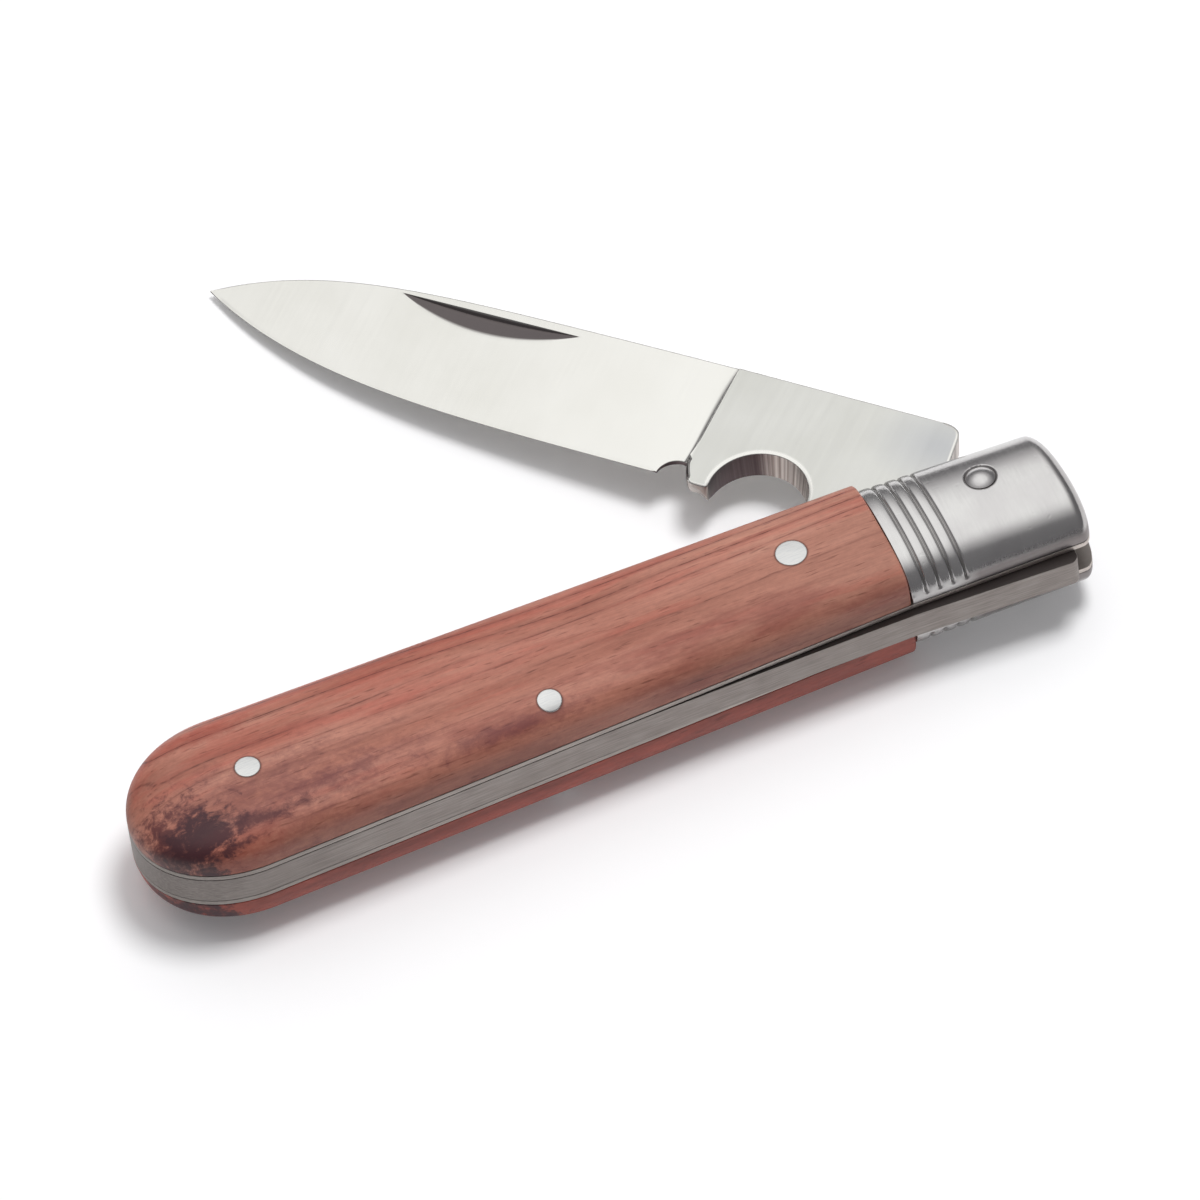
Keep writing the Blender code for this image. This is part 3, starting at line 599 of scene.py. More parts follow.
def groove_depth(x):
    """Depth e^-(d/width)^2 at distance d from a groove, plus a wide round for the beads."""
    stops = np.append(GROOVES, GROOVES[0] - GROOVE_PITCH)
    near = np.abs(x[:, None] - stops).min(1)
    narrow = np.exp(-(np.abs(x[:, None] - GROOVES).min(1) / GROOVE_WIDTH) ** 2)
    return GROOVE_DEPTH * narrow + BEAD_DEPTH * share_of(near, BEAD_WIDTH, 0.0) ** 2, narrow


def make_bolster(name, side):
    """A stack of grooved crown sections, closed over the front, with a seat for the rivet."""
    places = np.concatenate([np.linspace(-PIVOT_TO_WOOD, -3.0, 150)[:-1],
                             np.linspace(-3.0, 3.0, 84)[:-1],
                             np.linspace(3.0, FRONT_START, 20),
                             round_end(FRONT_START, FRONT_ROUND, 1, FRONT_POWER, 40)])
    depth, narrow = groove_depth(places)
    inset = BACK_EASE * quarter_round(share_of(places, BACK_EASE - PIVOT_TO_WOOD,
                                               -PIVOT_TO_WOOD))
    grid = crown_sections(places, 241, False, inset, depth, ease=0.15)
    away = np.hypot(grid[..., 0], grid[..., 1] - PIVOT_ABOVE_CENTRE)
    seat = (soft_share(away, RIVET_SEAT + 0.1, RIVET_SEAT - 0.15)
            * (grid[..., 2] > SEAT + 2.0))
    grid[..., 2] -= RIVET_SEAT_DEPTH * seat
    # The grooves are marked darker, and the seat's ring round the rivet's head gets a
    # thicker painted shade.
    fade = share_of(grid[..., 2], SEAT + 0.9, SEAT + 1.5)
    dark_grooves_and_seat_shade = np.maximum(narrow[:, None] * fade * 0.35, seat * (away > HEAD_RADIUS - 0.1) * 0.85)
    grid[..., 2] *= side
    make_piece(name + "_shell", from_knife(grid), capped(grid), "handle", name,
               "bolster_steel", sheet_steel, 35.0, groove=dark_grooves_and_seat_shade)


make_bolster("upper_bolster", 1)
make_bolster("lower_bolster", -1)

# %% [markdown]
# ## Steel strip
#
# Liners and backspring are cut from steel strip. After the knife is put together, the whole
# edge of the handle is ground on a belt, so all layers end in one surface with fine lines
# along it. The faces inside stay dark from hardening.

# %% Ground strip steel
def levelness(tree):
    """Size of the upright part of the surface's normal: 1 on level faces, 0 on walls."""
    normal = add(tree, "NewGeometry", out="Normal")
    return add(tree, "Math.ABSOLUTE", (add(tree, "SeparateXYZ", (normal,), "Z"),))


def ground_strip_steel(name, light, dark, flat, front):
    """Hardened strip with belt ground edges: lines along the handle, dark flat faces."""
    material, tree, spot, (x, _, _) = start_material(name, Metallic=1.0)
    # Belt lines are about 0.05 mm apart, drawn at 0.12 mm, and many millimetres long.
    lines = streaks(tree, spot, (0.22, 3.0, 8.0), 4.0, 0.6)
    cloud = add(tree, "TexNoise", {"Vector": spot, "Scale": 0.35, "Detail": 4.0})
    mixed = add(tree, "Math.MULTIPLY_ADD", (cloud, 0.3, lines))
    tone = add(tree, "ValToRGB", (mixed,), stops=[(0.40, dark), (0.90, light)])
    # Painted light and shade along the strip: brighter towards the bolster, darker round the butt.
    painted_light_and_shade = add(tree, "MapRange", (x, -40.0, -8.0, 0.96, front))
    dull = add(tree, "MapRange", (x, -74.0, -98.0, 1.0, 0.72))
    painted_light_and_shade = add(tree, "Math.MULTIPLY", (painted_light_and_shade, dull))
    tone = add(tree, "VectorMath.SCALE", {0: tone, "Scale": painted_light_and_shade})
    face = add(tree, "MapRange", (levelness(tree), 0.75, 0.95, 0.0, 0.85))
    rough = add(tree, "MapRange", (mixed, 0.4, 0.9, 0.46, 0.56))
    return finish_material(material, coat(tree, tone, (face, flat)), rough, lines, 0.3, 0.00002)


liner_steel = ground_strip_steel("ground_liner_steel", "#bab3ad", "#8f8883", "#97918d", 1.6)
spring_steel = ground_strip_steel("ground_spring_steel", "#aca5a0", "#807874", "#4d4645", 0.92)

# %% [markdown]
# ## Flat plates with a carried edge
#
# A liner is a flat plate with the handle's outline. The edge is a small profile, a quarter
# round above and below a straight wall, carried along the outline. The two flat faces are
# closed as single polygons, which stay perfectly flat.

# %% Edge profile carried along an outline
EDGE_STEPS = 4


def inward(path, closed=True):
    """Directions into the plate: the mean of the normals of the two sides at each corner,
    longer at a sharp corner so that an offset side stays parallel."""
    ahead = np.roll(path, -1, 0) - path
    if not closed:
        ahead[-1] = ahead[-2]
    ahead /= np.maximum(np.linalg.norm(ahead, axis=1, keepdims=True), 1e-9)
    normal = np.stack([-ahead[:, 1], ahead[:, 0]], -1)
    before = np.roll(normal, 1, 0)
    if not closed:
        before[0] = normal[0]
    total = normal + before
    return total / np.maximum(1.0 + (normal * before).sum(1, keepdims=True), 0.5)


def carried_edge(path, direction, low, high, width, depth, foot=None):
    """Grid along a path of (x, y): each point carries the profile from the upper face over
    the edge to the lower face. Width and depth size the rounds. A foot gives for each point
    how far the wall leans, how far its lower round goes in, and how deep that round is."""
    turn = np.linspace(0.0, np.pi / 2, EDGE_STEPS + 1)
    ease, sink = (1.0 - np.sin(turn))[None, :, None], 1.0 - np.cos(turn)[None, :]
    width, depth = np.reshape(width, (-1, 1)), np.reshape(depth, (-1, 1))
    foot = np.zeros((len(path), 5)) if foot is None else foot
    under = np.where(foot[:, 4:] > 0, foot[:, 4:], depth)
    out = path[:, None, :] + direction[:, None, :] * width[..., None] * ease
    level = np.broadcast_to(high - depth * sink, out.shape[:2])
    upper = np.concatenate([out, level[..., None]], -1)
    out = out + foot[:, None, :2] + foot[:, None, 2:4] * ease
    level = np.broadcast_to(low + under * sink, out.shape[:2])
    lower = np.concatenate([out, level[..., None]], -1)
    return np.concatenate([upper, lower[:, ::-1]], 1)


def make_plate(node, word, outline, low, high, slot, material, width):
    """A plate: the edge profile carried round a closed outline, and two flat faces."""
    following = np.roll(outline, -1, 0)
    area = (outline[:, 0] * following[:, 1] - outline[:, 1] * following[:, 0]).sum()
    outline = outline if area > 0 else outline[::-1]
    grid = carried_edge(outline, inward(outline), low, high, width, width)
    rows, columns = grid.shape[:2]
    first = np.arange(rows) * columns
    faces = grid_faces(rows + 1, columns) + [first.tolist(), (first + columns - 1).tolist()]
    ring = np.concatenate([grid, grid[:1]])
    make_piece(node + word, from_knife(ring), faces, "handle", node, slot, material, 40.0)


def handle_places():
    """Places along the whole outline, closer together through the round ends."""
    butt = round_end(BUTT_START, BUTT_ROUND, -1, BUTT_POWER, 60)[::-1]
    front = round_end(FRONT_START, FRONT_ROUND, 1, FRONT_POWER, 30)
    return np.concatenate([butt, np.linspace(BUTT_START, -PIVOT_TO_WOOD, 40),
                           np.linspace(-PIVOT_TO_WOOD, FRONT_START, 12)[1:], front])


places = handle_places()
back, belly = half_widths(places)
back_line = np.stack([slanted(places, -back), -back], -1)
belly_line = np.stack([slanted(places, belly), belly], -1)
liner_outline = np.concatenate([back_line, belly_line[-2:0:-1]])
for node, low, high in (("upper_liner", STOCK_HALF + 0.06, LINER_TOP),
                        ("lower_liner", -LINER_TOP, -CHANNEL_HALF)):
    make_plate(node, "_plate", liner_outline, low, high, "liner_steel", liner_steel, 0.05)

# %% [markdown]
# ## The backspring
#
# The spring is one thick strip: it goes round the butt, is pinned in the middle, and its
# long front arm presses on the tang. With the blade half open the tang's corner has pushed
# the arm out of the back edge, which leaves a dark wedge under the upper liner. The bend is
# that of a beam held at the middle pin: it grows as 3 s^2 - s^3 along the arm.

# %% Backspring outline
BLADE_LENGTH = 94.5
SPINE_TO_PIVOT = 10.0
TIP_BEHIND_PIVOT = 2.6
EDGE_TO_PIVOT = 5.6
EDGE_CURVE_START = 31.3
EDGE_POWER = 4.4
TANG_HALF = 4.9
TANG_CORNER = 1.9
CONTACT_GAP = 0.11
TIP_ROOM = 1.2
FOLDED_ANGLE = np.radians(177.5)
SPRING_LEVELS = (-1.77, 1.69)


def edge_line(u):
    """The cutting edge: straight, then up to the tip as the power 4.4 of the way along."""
    along = share_of(u, EDGE_CURVE_START, BLADE_LENGTH)
    return mix(EDGE_TO_PIVOT, -TIP_BEHIND_PIVOT, along ** EDGE_POWER)


def arc(u, v, radius, start, end, steps):
    """Points of an arc from a start angle to an end angle, in degrees."""
    turn = np.radians(np.linspace(start, end, steps))
    return np.stack([u + radius * np.cos(turn), v + radius * np.sin(turn)], -1)


def path_reach(path):
    """Length of a path from its start to each of its points."""
    return np.append(0.0, np.cumsum(np.hypot(*np.diff(path, axis=0).T)))


def from_back(x, depth):
    """A point on the spring's inner side, some depth in from the back edge."""
    return x, depth - half_widths(np.array(x))[0]


def spring_outline():
    """Back edge, nose, inner side and the pocket for the blade's tip, then bent."""
    nose_end, nose_round, seat = 6.4, 1.1, PIVOT_ABOVE_CENTRE - TANG_HALF
    butt = round_end(BUTT_START, BUTT_ROUND, -1, BUTT_POWER, 60)[::-1]
    outer_x = np.concatenate([butt, np.linspace(BUTT_START, nose_end - nose_round, 90)])
    outer = np.stack([outer_x, -half_widths(outer_x)[0]], -1)
    corner = arc(*from_back(nose_end, 0.0), nose_round, -90, 0, 7)[1:] + (-nose_round, nose_round)
    marks = np.array([(nose_end, seat - nose_round), (nose_end - nose_round, seat), (-8.5, seat),
                      from_back(-11.5, 3.1), from_back(-46.5, 3.1), (-49.5, -4.0), (-58.5, -4.0),
                      (-61.5, from_back(-58.5, 4.2)[1]), from_back(-70.0, 4.2)])
    reach = path_reach(marks)
    steps = np.unique(np.concatenate([reach, np.linspace(0.0, reach[-1], 90)]))
    inner = np.stack([np.interp(steps, reach, marks[:, axis]) for axis in (0, 1)], -1)
    # The folded blade's edge, moved off by the room that its tip has.
    u = np.linspace(82.25, BLADE_LENGTH, 24)
    v = edge_line(u)
    cosine, sine = np.cos(FOLDED_ANGLE), np.sin(FOLDED_ANGLE)
    pocket = np.stack([u * cosine - v * sine,
                       PIVOT_ABOVE_CENTRE + u * sine + v * cosine - TIP_ROOM], -1)
    belly = np.stack([butt, half_widths(butt)[1]], -1)[::-1]
    belly = belly[(belly[:, 0] < pocket[-1, 0]) & (belly[:, 1] < pocket[-1, 1])]
    outline = np.concatenate([outer, corner, inner, pocket, belly[:-1]])
    reach = TANG_CORNER + (TANG_HALF - TANG_CORNER) * (np.sin(BLADE_ANGLE) - np.cos(BLADE_ANGLE))
    share = np.clip(1.0 - outline[:, 0] / SPRING_PIN[0], 0.0, None)
    outline[:, 1] -= (reach - TANG_HALF + CONTACT_GAP) * (3 * share ** 2 - share ** 3) / 2
    return outline


make_plate("back_spring", "_strip", spring_outline(), *SPRING_LEVELS, "spring_steel",
           spring_steel, 0.06)

# %% [markdown]
# ## Pins and the pivot rivet
#
# The pins are soft aluminium wire, hammered and then sanded with the wood, so their ends
# follow the handle's crown and stand a twentieth of a millimetre proud. The pivot rivet is
# steel: its head is a low dome in a round seat, and the seat's shadow is the dark ring that
# the eye sees. Each is a surface turned about an axis, with its top laid on the crown.

# %% Hammered aluminium
def sanded_aluminium():
    """Aluminium wire ends, hammered and sanded: pale, dull, with fine scratches."""
    material, tree, spot, _ = start_material("sanded_aluminium", Metallic=1.0)
    lines = streaks(tree, spot, (0.8, 6.0, 1.0))
    tone = add(tree, "ValToRGB", (lines,), stops=[(0.3, "#d3d4d4"), (0.7, "#ecece9")])
    rough = add(tree, "MapRange", (lines, 0.3, 0.7, 0.3, 0.45))
    blows = add(tree, "TexNoise", {"Vector": spot, "Scale": 1.1, "Detail": 1.0})
    height = add(tree, "Math.MULTIPLY_ADD", (lines, 0.15, blows))
    return finish_material(material, tone, rough, height, 0.35, 0.00006)


aluminium = sanded_aluminium()
PIN_PROUD = 0.048
PIN_DOME = 0.05


def pin_end(x, y, radius, side):
    """Rings of a pin's end: the crown's height plus dome (1 - share^2), its edge eased."""
    share = np.array([1.0, 1.0, 0.985, 0.95, 0.9, 0.75, 0.6, 0.45, 0.3, 0.15, 0.0])[:, None]
    ease = np.array([0.12, 0.04, 0.012] + [0.0] * 8)[:, None]
    turn = np.linspace(0.0, 2 * np.pi, 65)[:-1]
    px, py = x + radius * share * np.cos(turn), y + radius * share * np.sin(turn)
    top = crown_height(px, py, True) + PIN_PROUD + PIN_DOME * (1.0 - share ** 2) - ease
    return np.stack([px, py, side * top], -1)


def make_pin(name, pin, ends):
    """A closed pin between two ends; a short pin ends flat at the blade's channel."""
    if ends == "both":
        grid = np.concatenate([pin_end(*pin, -1)[::-1], pin_end(*pin, 1)])
    else:
        x, y, _ = pin
        head = pin_end(*pin, ends)
        middle = np.zeros_like(head[:1]) + (x, y, ends * CHANNEL_HALF)
        foot = np.where((True, True, False), head[:1], middle)
        grid = np.concatenate([middle, foot, head])
    make_piece(name + "_end", from_knife(grid), grid_faces(*grid.shape[:2], wrap=True),
               "handle", name, "pin_aluminium", aluminium, 45.0)


make_pin("butt_pin", BUTT_PIN, "both")
make_pin("spring_pin", SPRING_PIN, "both")
make_pin("upper_front_pin", FRONT_PIN, 1)
make_pin("lower_front_pin", FRONT_PIN, -1)


# %% Pivot rivet
SHANK_RADIUS = 1.5
RIM_SUNK = 0.17
DOME_POWER = 2.1
HEAD_TILT = 0.08


def make_rivet():
    """Profile of shank, rim and dome, whose height is rise (1 - share^p), turned about the
    pivot and tilted with the crown."""
    rim = crown_height(np.array(0.0), np.array(PIVOT_ABOVE_CENTRE), False) - RIM_SUNK
    share = np.linspace(1.0, 0.0, 22)
    dome = np.stack([HEAD_RADIUS * share, rim + HEAD_RISE * (1.0 - share ** DOME_POWER)], -1)
    half = np.concatenate([[(SHANK_RADIUS, 0.0), (SHANK_RADIUS, rim - 0.25),
                            (HEAD_RADIUS - 0.04, rim - 0.25), (HEAD_RADIUS, rim - 0.2)], dome])
    profile = np.concatenate([half[:0:-1] * (1, -1), half])
    radius, height = profile[:, :1], profile[:, 1:]
    spin = np.linspace(0.0, 2 * np.pi, 73)[:-1]
    x, y = radius * np.cos(spin), radius * np.sin(spin)
    tilted = height - HEAD_TILT * y * np.sign(height)
    grid = np.stack([x, y + PIVOT_ABOVE_CENTRE, tilted], -1)
    make_piece("pivot_rivet_heads", from_knife(grid), grid_faces(*grid.shape[:2], wrap=True),
               "handle", "pivot_rivet", "bolster_steel", sheet_steel, 40.0)


make_rivet()

# %% [markdown]
# ## The blade's steel
#
# The blade is stainless steel. Its ground faces are polished nearly to a mirror, with faint
# lines square to the edge from the wheel. The part behind the plunge line keeps a satin
# finish. The nick and the wall of the stripping notch are cut and never polished: the wall
# shows the cutter's marks as upright bands.

# %% Polished blade steel
NOTCH = (24.4, 6.0)
PLUNGE = 33.3
# Dark tone of cut walls: painted shade on the notch's wall by the lip, also on the finger notch's
# side.
DARK_WALL_TONE = "#4e4245"


def polished_blade_steel():
    """Ground and polished stainless steel, satin behind the plunge line, raw in its cuts."""
    material, tree, spot, (along, across, _) = start_material("polished_blade_steel", True,
                                                              Metallic=1.0)
    satin = add(tree, "MapRange", (along, PLUNGE + 0.1, PLUNGE - 0.1))
    cloud = add(tree, "TexNoise", {"Vector": spot, "Scale": 0.11, "Detail": 4.0})
    bright, dull = (add(tree, "ValToRGB", (cloud,), stops=[(0.3, low), (0.7, high)])
                    for low, high in (("#d6d5cf", "#dcdbd6"), ("#d2d2cc", "#dadad5")))
    # A faint blue grey patch lies by the shoulder, and the ground face is painted brightest
    # beside the plunge line, a painted reflection.
    shoulder = distance(tree, spot, (8.0, -6.5, 0.0), (8.5, 6.5, 90.0))
    shoulder = add(tree, "MapRange", (shoulder, 1.0, 0.1, 0.0, 0.7))
    dull = coat(tree, dull, (shoulder, "#b9bbbf"))
    plunge = add(tree, "MapRange", (along, 62.0, 36.0, 0.0, 0.5))
    bright = coat(tree, bright, (plunge, "#e9e8e3"))
    # The cut walls, where the surface stands upright: bands by angle round the notch.
    du, dv = (add(tree, "Math.SUBTRACT", (value, middle))
              for value, middle in zip((along, across), NOTCH))
    angle = add(tree, "Math.ARCTAN2", (dv, du))
    bands = add(tree, "TexNoise", {"W": angle, "Scale": 14.0, "Detail": 4.0},
                noise_dimensions="1D")
    raw = add(tree, "ValToRGB", (bands,), stops=[(0.35, "#8b807b"), (0.65, "#c6beb8")])
    # Painted shade: the side of the notch's wall by the lip is drawn dark.
    painted_wall_shade = add(tree, "MapRange", (angle, -1.5, -1.15, 0.0, 0.9))
    lip = add(tree, "MapRange", (across, 6.4, 6.8, 1.0, 0.0))
    painted_wall_shade = add(tree, "Math.MULTIPLY", (painted_wall_shade, lip))
    raw = coat(tree, raw, (painted_wall_shade, DARK_WALL_TONE))
    level = levelness(tree)
    wall = add(tree, "MapRange", (level, 0.5, 0.2))
    off_spine = add(tree, "MapRange", (across, -9.6, -9.0))
    wall = add(tree, "Math.MULTIPLY", (wall, off_spine))
    # Eased edges are buffed brighter than the satin face beside them.
    eased = add(tree, "MapRange", (level, 0.9992, 0.995))
    satin = add(tree, "Math.SUBTRACT", (satin, eased), use_clamp=True)
    # The side of the small finger notch is drawn in the same dark tone.
    side = add(tree, "MapRange", (along, 32.5, 32.9))
    for value, start, end in ((along, 36.6, 36.0), (across, 3.3, 4.0), (level, 0.97, 0.75)):
        inside = add(tree, "MapRange", (value, start, end))
        side = add(tree, "Math.MULTIPLY", (side, inside))
    cut = add(tree, "Attribute", out="Fac", attribute_name="nick")
    tone = coat(tree, bright, (satin, dull), (wall, raw), (side, DARK_WALL_TONE), (cut, "#685f60"))
    # Wheel lines square to the edge: 0.05 mm in truth, drawn 0.3 mm apart so that they show.
    lines = streaks(tree, spot, (3.2, 0.06, 1.0))
    rough = add(tree, "MapRange", (lines, 0.3, 0.7, 0.15, 0.21))
    for mask, more in ((satin, 0.13), (wall, 0.2), (cut, 0.2)):
        rough = add(tree, "Math.MULTIPLY_ADD", (mask, more, rough))
    return finish_material(material, tone, rough, lines, 0.1, 0.00001)


blade_steel = polished_blade_steel()

# %% [markdown]
# ## The blade
#
# The blade is one forging in two zones. The tang zone is flat on both sides, so it is a
# plate: an edge profile carried from the spine, round the tang and through the stripping
# notch to the small finger notch. In the notch the profile changes: its upper edge is a
# wide bright bevel, and its wall leans. The ground zone is a stack of wedge sections from
# the plunge line to the tip, with grid lines laid along the edges of the nail nick so that
# the nick stays crisp. Both zones share the points of the section at the plunge line.

# %% Sizes and lines of the blade
SPINE_CURVE_START = 32.4
SPINE_POWER = 6.2
SPINE_HALF = 1.62
TIP_HALF = 0.14
EDGE_HALF = 0.14
THINNING = 1.35
CHOIL = (34.4, 5.9, 2.4)
CHOIL_ROUND = (0.5, 1.2)
NOTCH_RADIUS = 5.65
NOTCH_LEAN = (0.25, 0.5)
NICK_START = 52.1
NICK_LENGTH = 21.6
NICK_WIDTH = 2.85
NICK_TOP = -8.8
NICK_DEPTH = 0.45
ROUND_OFF = 0.2
RUN_OUT = 1.05
WHEEL_BEND = 0.35


def spine_line(u):
    """The back: straight, then down to the tip as the power 6.2 of the way along."""
    along = share_of(u, SPINE_CURVE_START, BLADE_LENGTH)
    return mix(0.03 - SPINE_TO_PIVOT, -TIP_BEHIND_PIVOT, along ** SPINE_POWER)


def half_thickness(u, v):
    """Half the wedge's thickness: from the spine's straight down to the edge's, with a
    round run-out where the grinding wheel stopped at the plunge line."""
    along = share_of(u, PLUNGE, BLADE_LENGTH)
    spine, edge = spine_line(u), edge_line(u)
    across = share_of(v, spine, np.maximum(edge, spine + 1e-6))
    ground = mix(mix(SPINE_HALF, TIP_HALF, along ** THINNING), EDGE_HALF, across)
    return mix(ground, STOCK_HALF, quarter_round(share_of(u, PLUNGE + RUN_OUT, PLUNGE)))


def lower_line(u):
    """The lower border of the ground zone: the edge, cut by the finger notch's circle."""
    cu, cv, radius = CHOIL
    inside = np.sqrt(np.clip(radius ** 2 - (u - cu) ** 2, 0.0, None))
    return np.where(np.abs(u - cu) < radius, np.minimum(edge_line(u), cv - inside), edge_line(u))


CHOIL_SIDE = CHOIL[2] * np.cos(np.arcsin((PLUNGE - CHOIL[0]) / CHOIL[2]))
print("finger notch meets the plunge line at", round(CHOIL[1] - CHOIL_SIDE, 2), "mm")


# %% The flat tang zone
def cut_corners(path, times=2):
    """Round a path: each side is kept from a quarter to three quarters of its length."""
    for _ in range(times):
        middle = np.stack([0.75 * path[:-1] + 0.25 * path[1:], 0.25 * path[:-1] + 0.75 * path[1:]],
                          1).reshape(-1, 2)
        path = np.concatenate([path[:1], middle, path[-1:]])
    return path


def tang_path():
    """Border of the tang zone, and at each point the sizes of its edge profile."""
    spine, inner = -SPINE_TO_PIVOT, TANG_HALF - TANG_CORNER
    first = np.degrees(np.arcsin(0.2 / NOTCH_RADIUS))
    last = np.degrees(np.arcsin((6.65 - NOTCH[1]) / NOTCH_RADIUS))
    choil_end = CHOIL[1] - CHOIL_SIDE
    lip_end = cut_corners(np.array([[30.02, 6.8], [30.2, 7.05], [31.1, 7.1], [32.1, 7.05],
                                    [32.5, 6.7]]))
    lip_side = cut_corners(np.array([[32.75, 6.3], [33.1, 5.5], [33.28, 4.8], [33.34, 4.3],
                                     [PLUNGE, choil_end]]))
    # Width and depth of the upper round, lean (u, v), lower round (u, v) and its depth. The
    # end of the lip is cut far under, so that only a thin edge of it shows.
    plain, buffed = (ROUND_OFF, ROUND_OFF, 0, 0, 0, 0, 0.2), (0.45, 0.12, 0.25, 0, 0, 0, 0.2)
    shoulder = cut_corners(np.array([[8.7, spine], [7.6, -9.8], [6.85, -9.3], [6.55, -8.6],
                                     [6.43, -7.6], [6.17, -5.4], [6.1, -4.9]]))
    runs = [(np.stack([np.linspace(PLUNGE, 9.0, 26), np.full(26, spine)], -1), plain),
            (shoulder, buffed), (np.array([[5.4, -4.9], [2.0, -4.9]]), plain),
            (arc(-inner, -inner, TANG_CORNER, 270, 180, 13), plain),
            (arc(-inner, inner, TANG_CORNER, 180, 90, 13), plain),
            (np.array([[3.0, 4.9], [9.5, 4.9], [12.0, 6.2], [15.0, 6.2], [17.6, 6.2]]), plain),
            (arc(*NOTCH, NOTCH_RADIUS, 180 - first, 360 + last, 121),
             (0.65, 0.14, *NOTCH_LEAN, 0, 0, 0.15)),
            (lip_end, (0.3, 0.25, 0, 0, 0, -3.2, 2.9)),
            (lip_side, (*CHOIL_ROUND, 0, 0, 0, 0, CHOIL_ROUND[1]))]
    path = np.concatenate([run for run, _ in runs])
    size = np.concatenate([np.broadcast_to(edge, (len(run), 7)) for run, edge in runs])
    reach = path_reach(path)
    # One kind of edge runs softly into the next: the upper round over 0.35 mm, the rest
    # over 1.1 mm.
    smooth = size.copy()
    for columns, spread in ((slice(0, 2), 0.35), (slice(2, 7), 1.1)):
        near = np.exp(-((reach[:, None] - reach[None, :]) / spread) ** 2)
        near *= np.gradient(reach)[None, :]
        smooth[:, columns] = (near / near.sum(1, keepdims=True)) @ size[:, columns]
    hold = np.clip(np.minimum(reach, reach[-1] - reach) / 0.5, 0.0, 1.0)[:, None]
    return path, mix(size, smooth, hold)


path, edge = tang_path()
direction = -inward(path, closed=False)
direction[0], direction[-1] = (0.0, 1.0), (0.0, -1.0)
tang = carried_edge(path, direction, -STOCK_HALF, STOCK_HALF, edge[:, 0], edge[:, 1],
                    edge[:, 2:])
print("tang border:", len(path), "points")

# %% The ground zone
CURVE_PLACE = 84.0
FULL_BEVEL = 0.4
KEEN_HALF = 0.03
LIP_REACH = 0.9

notch_places = CHOIL[0] - CHOIL[2] * np.cos(np.linspace(0.0, np.pi, 40))
edge_start = CHOIL[0] + np.sqrt(CHOIL[2] ** 2 - (CHOIL[1] - EDGE_TO_PIVOT) ** 2)
tip_places = mix(CURVE_PLACE, BLADE_LENGTH, np.sin(np.linspace(0.0, np.pi / 2, 46)[1:]))
u = np.concatenate([[PLUNGE], PLUNGE + RUN_OUT * np.linspace(0.0, 1.0, 12)[1:] ** 2,
                    notch_places, np.linspace(edge_start, CURVE_PLACE, 170), tip_places])
# From here on each measure is a column with one row for each section.
u = np.unique(np.round(u[u >= PLUNGE], 4))[:, None]
spine, lower = spine_line(u), lower_line(u)
spine[0] = -SPINE_TO_PIVOT
wide = lower - spine
on_edge = share_of(u, edge_start, edge_start + 0.6)
by_lip = share_of(u, PLUNGE + LIP_REACH, PLUNGE) ** 2
spine_round = np.minimum(ROUND_OFF, wide * 0.12)
bevel = np.minimum(mix(mix(ROUND_OFF, FULL_BEVEL, on_edge), CHOIL_ROUND[0], by_lip),
                   wide * 0.2)
first, last = spine + spine_round, lower - bevel
# The nail nick is a crescent: a short steep wall under its top line, then a long slope.
along_nick = share_of(u, NICK_START, NICK_START + NICK_LENGTH)
crescent = 4.0 * along_nick * (1.0 - along_nick)
nick_top = np.clip(NICK_TOP, first + 0.03 * wide, first + 0.3 * wide)
nick_low = nick_top + np.maximum(NICK_WIDTH * crescent, 0.03 * np.clip(wide, 0.0, 1.0))
slope = np.array([0.0, 0.06, 0.12, 0.25, 0.4, 0.55, 0.7, 0.85, 1.0])
lines = np.concatenate([mix(first, nick_top, np.linspace(0, 1, 5)[:-1]),
                        mix(nick_top, nick_low, slope[:-1]),
                        mix(nick_low, last, np.linspace(0, 1, 25))], 1)
upper = half_thickness(u, lines)
lower_face = -upper[:, ::-1]
hollow = np.where(slope < 0.12, slope / 0.12, (1.0 - slope) / 0.88)[:-1]
upper[:, 4:12] -= NICK_DEPTH * crescent * hollow
# Rounds at the spine, and at the edge a round in the finger notch or a straight bevel.
quarter = np.linspace(0.0, np.pi / 2, EDGE_STEPS + 1)
at_spine, at_edge = half_thickness(u, first), half_thickness(u, last)
spine_v = spine + spine_round * (1.0 - np.sin(quarter))
spine_z = at_spine - np.minimum(ROUND_OFF, 0.4 * at_spine) * (1.0 - np.cos(quarter))
sunk = mix(np.minimum(ROUND_OFF, 0.4 * at_edge), CHOIL_ROUND[1], by_lip)
keen = mix(at_edge, KEEN_HALF, np.clip(bevel / FULL_BEVEL, 0.0, 1.0))
thin = mix(at_edge - np.minimum(sunk, np.maximum(0.7 * at_edge, at_edge - 0.5)), keen, on_edge)
straight = quarter / (np.pi / 2)
edge_v = lower - bevel * mix(1.0 - np.sin(quarter), 1.0 - straight, on_edge)
edge_z = at_edge - (at_edge - thin) * mix(1.0 - np.cos(quarter), straight, on_edge)
section_v = np.concatenate([spine_v[:, ::-1], lines[:, 1:-1], edge_v, edge_v[:, ::-1],
                            lines[:, ::-1][:, 1:-1], spine_v], 1)
section_z = np.concatenate([spine_z[:, ::-1], upper[:, 1:-1], edge_z, -edge_z[:, ::-1],
                            lower_face[:, 1:-1], -spine_z], 1)
cut_mark = np.zeros_like(section_v)
cut_mark[:, EDGE_STEPS + 4:EDGE_STEPS + 12] = (crescent > 0.02) * (hollow > 0) * 0.9
ground = np.stack([np.broadcast_to(u, section_v.shape), section_v, section_z], -1)
ground[-1] = (BLADE_LENGTH, -TIP_BEHIND_PIVOT, 0.0)
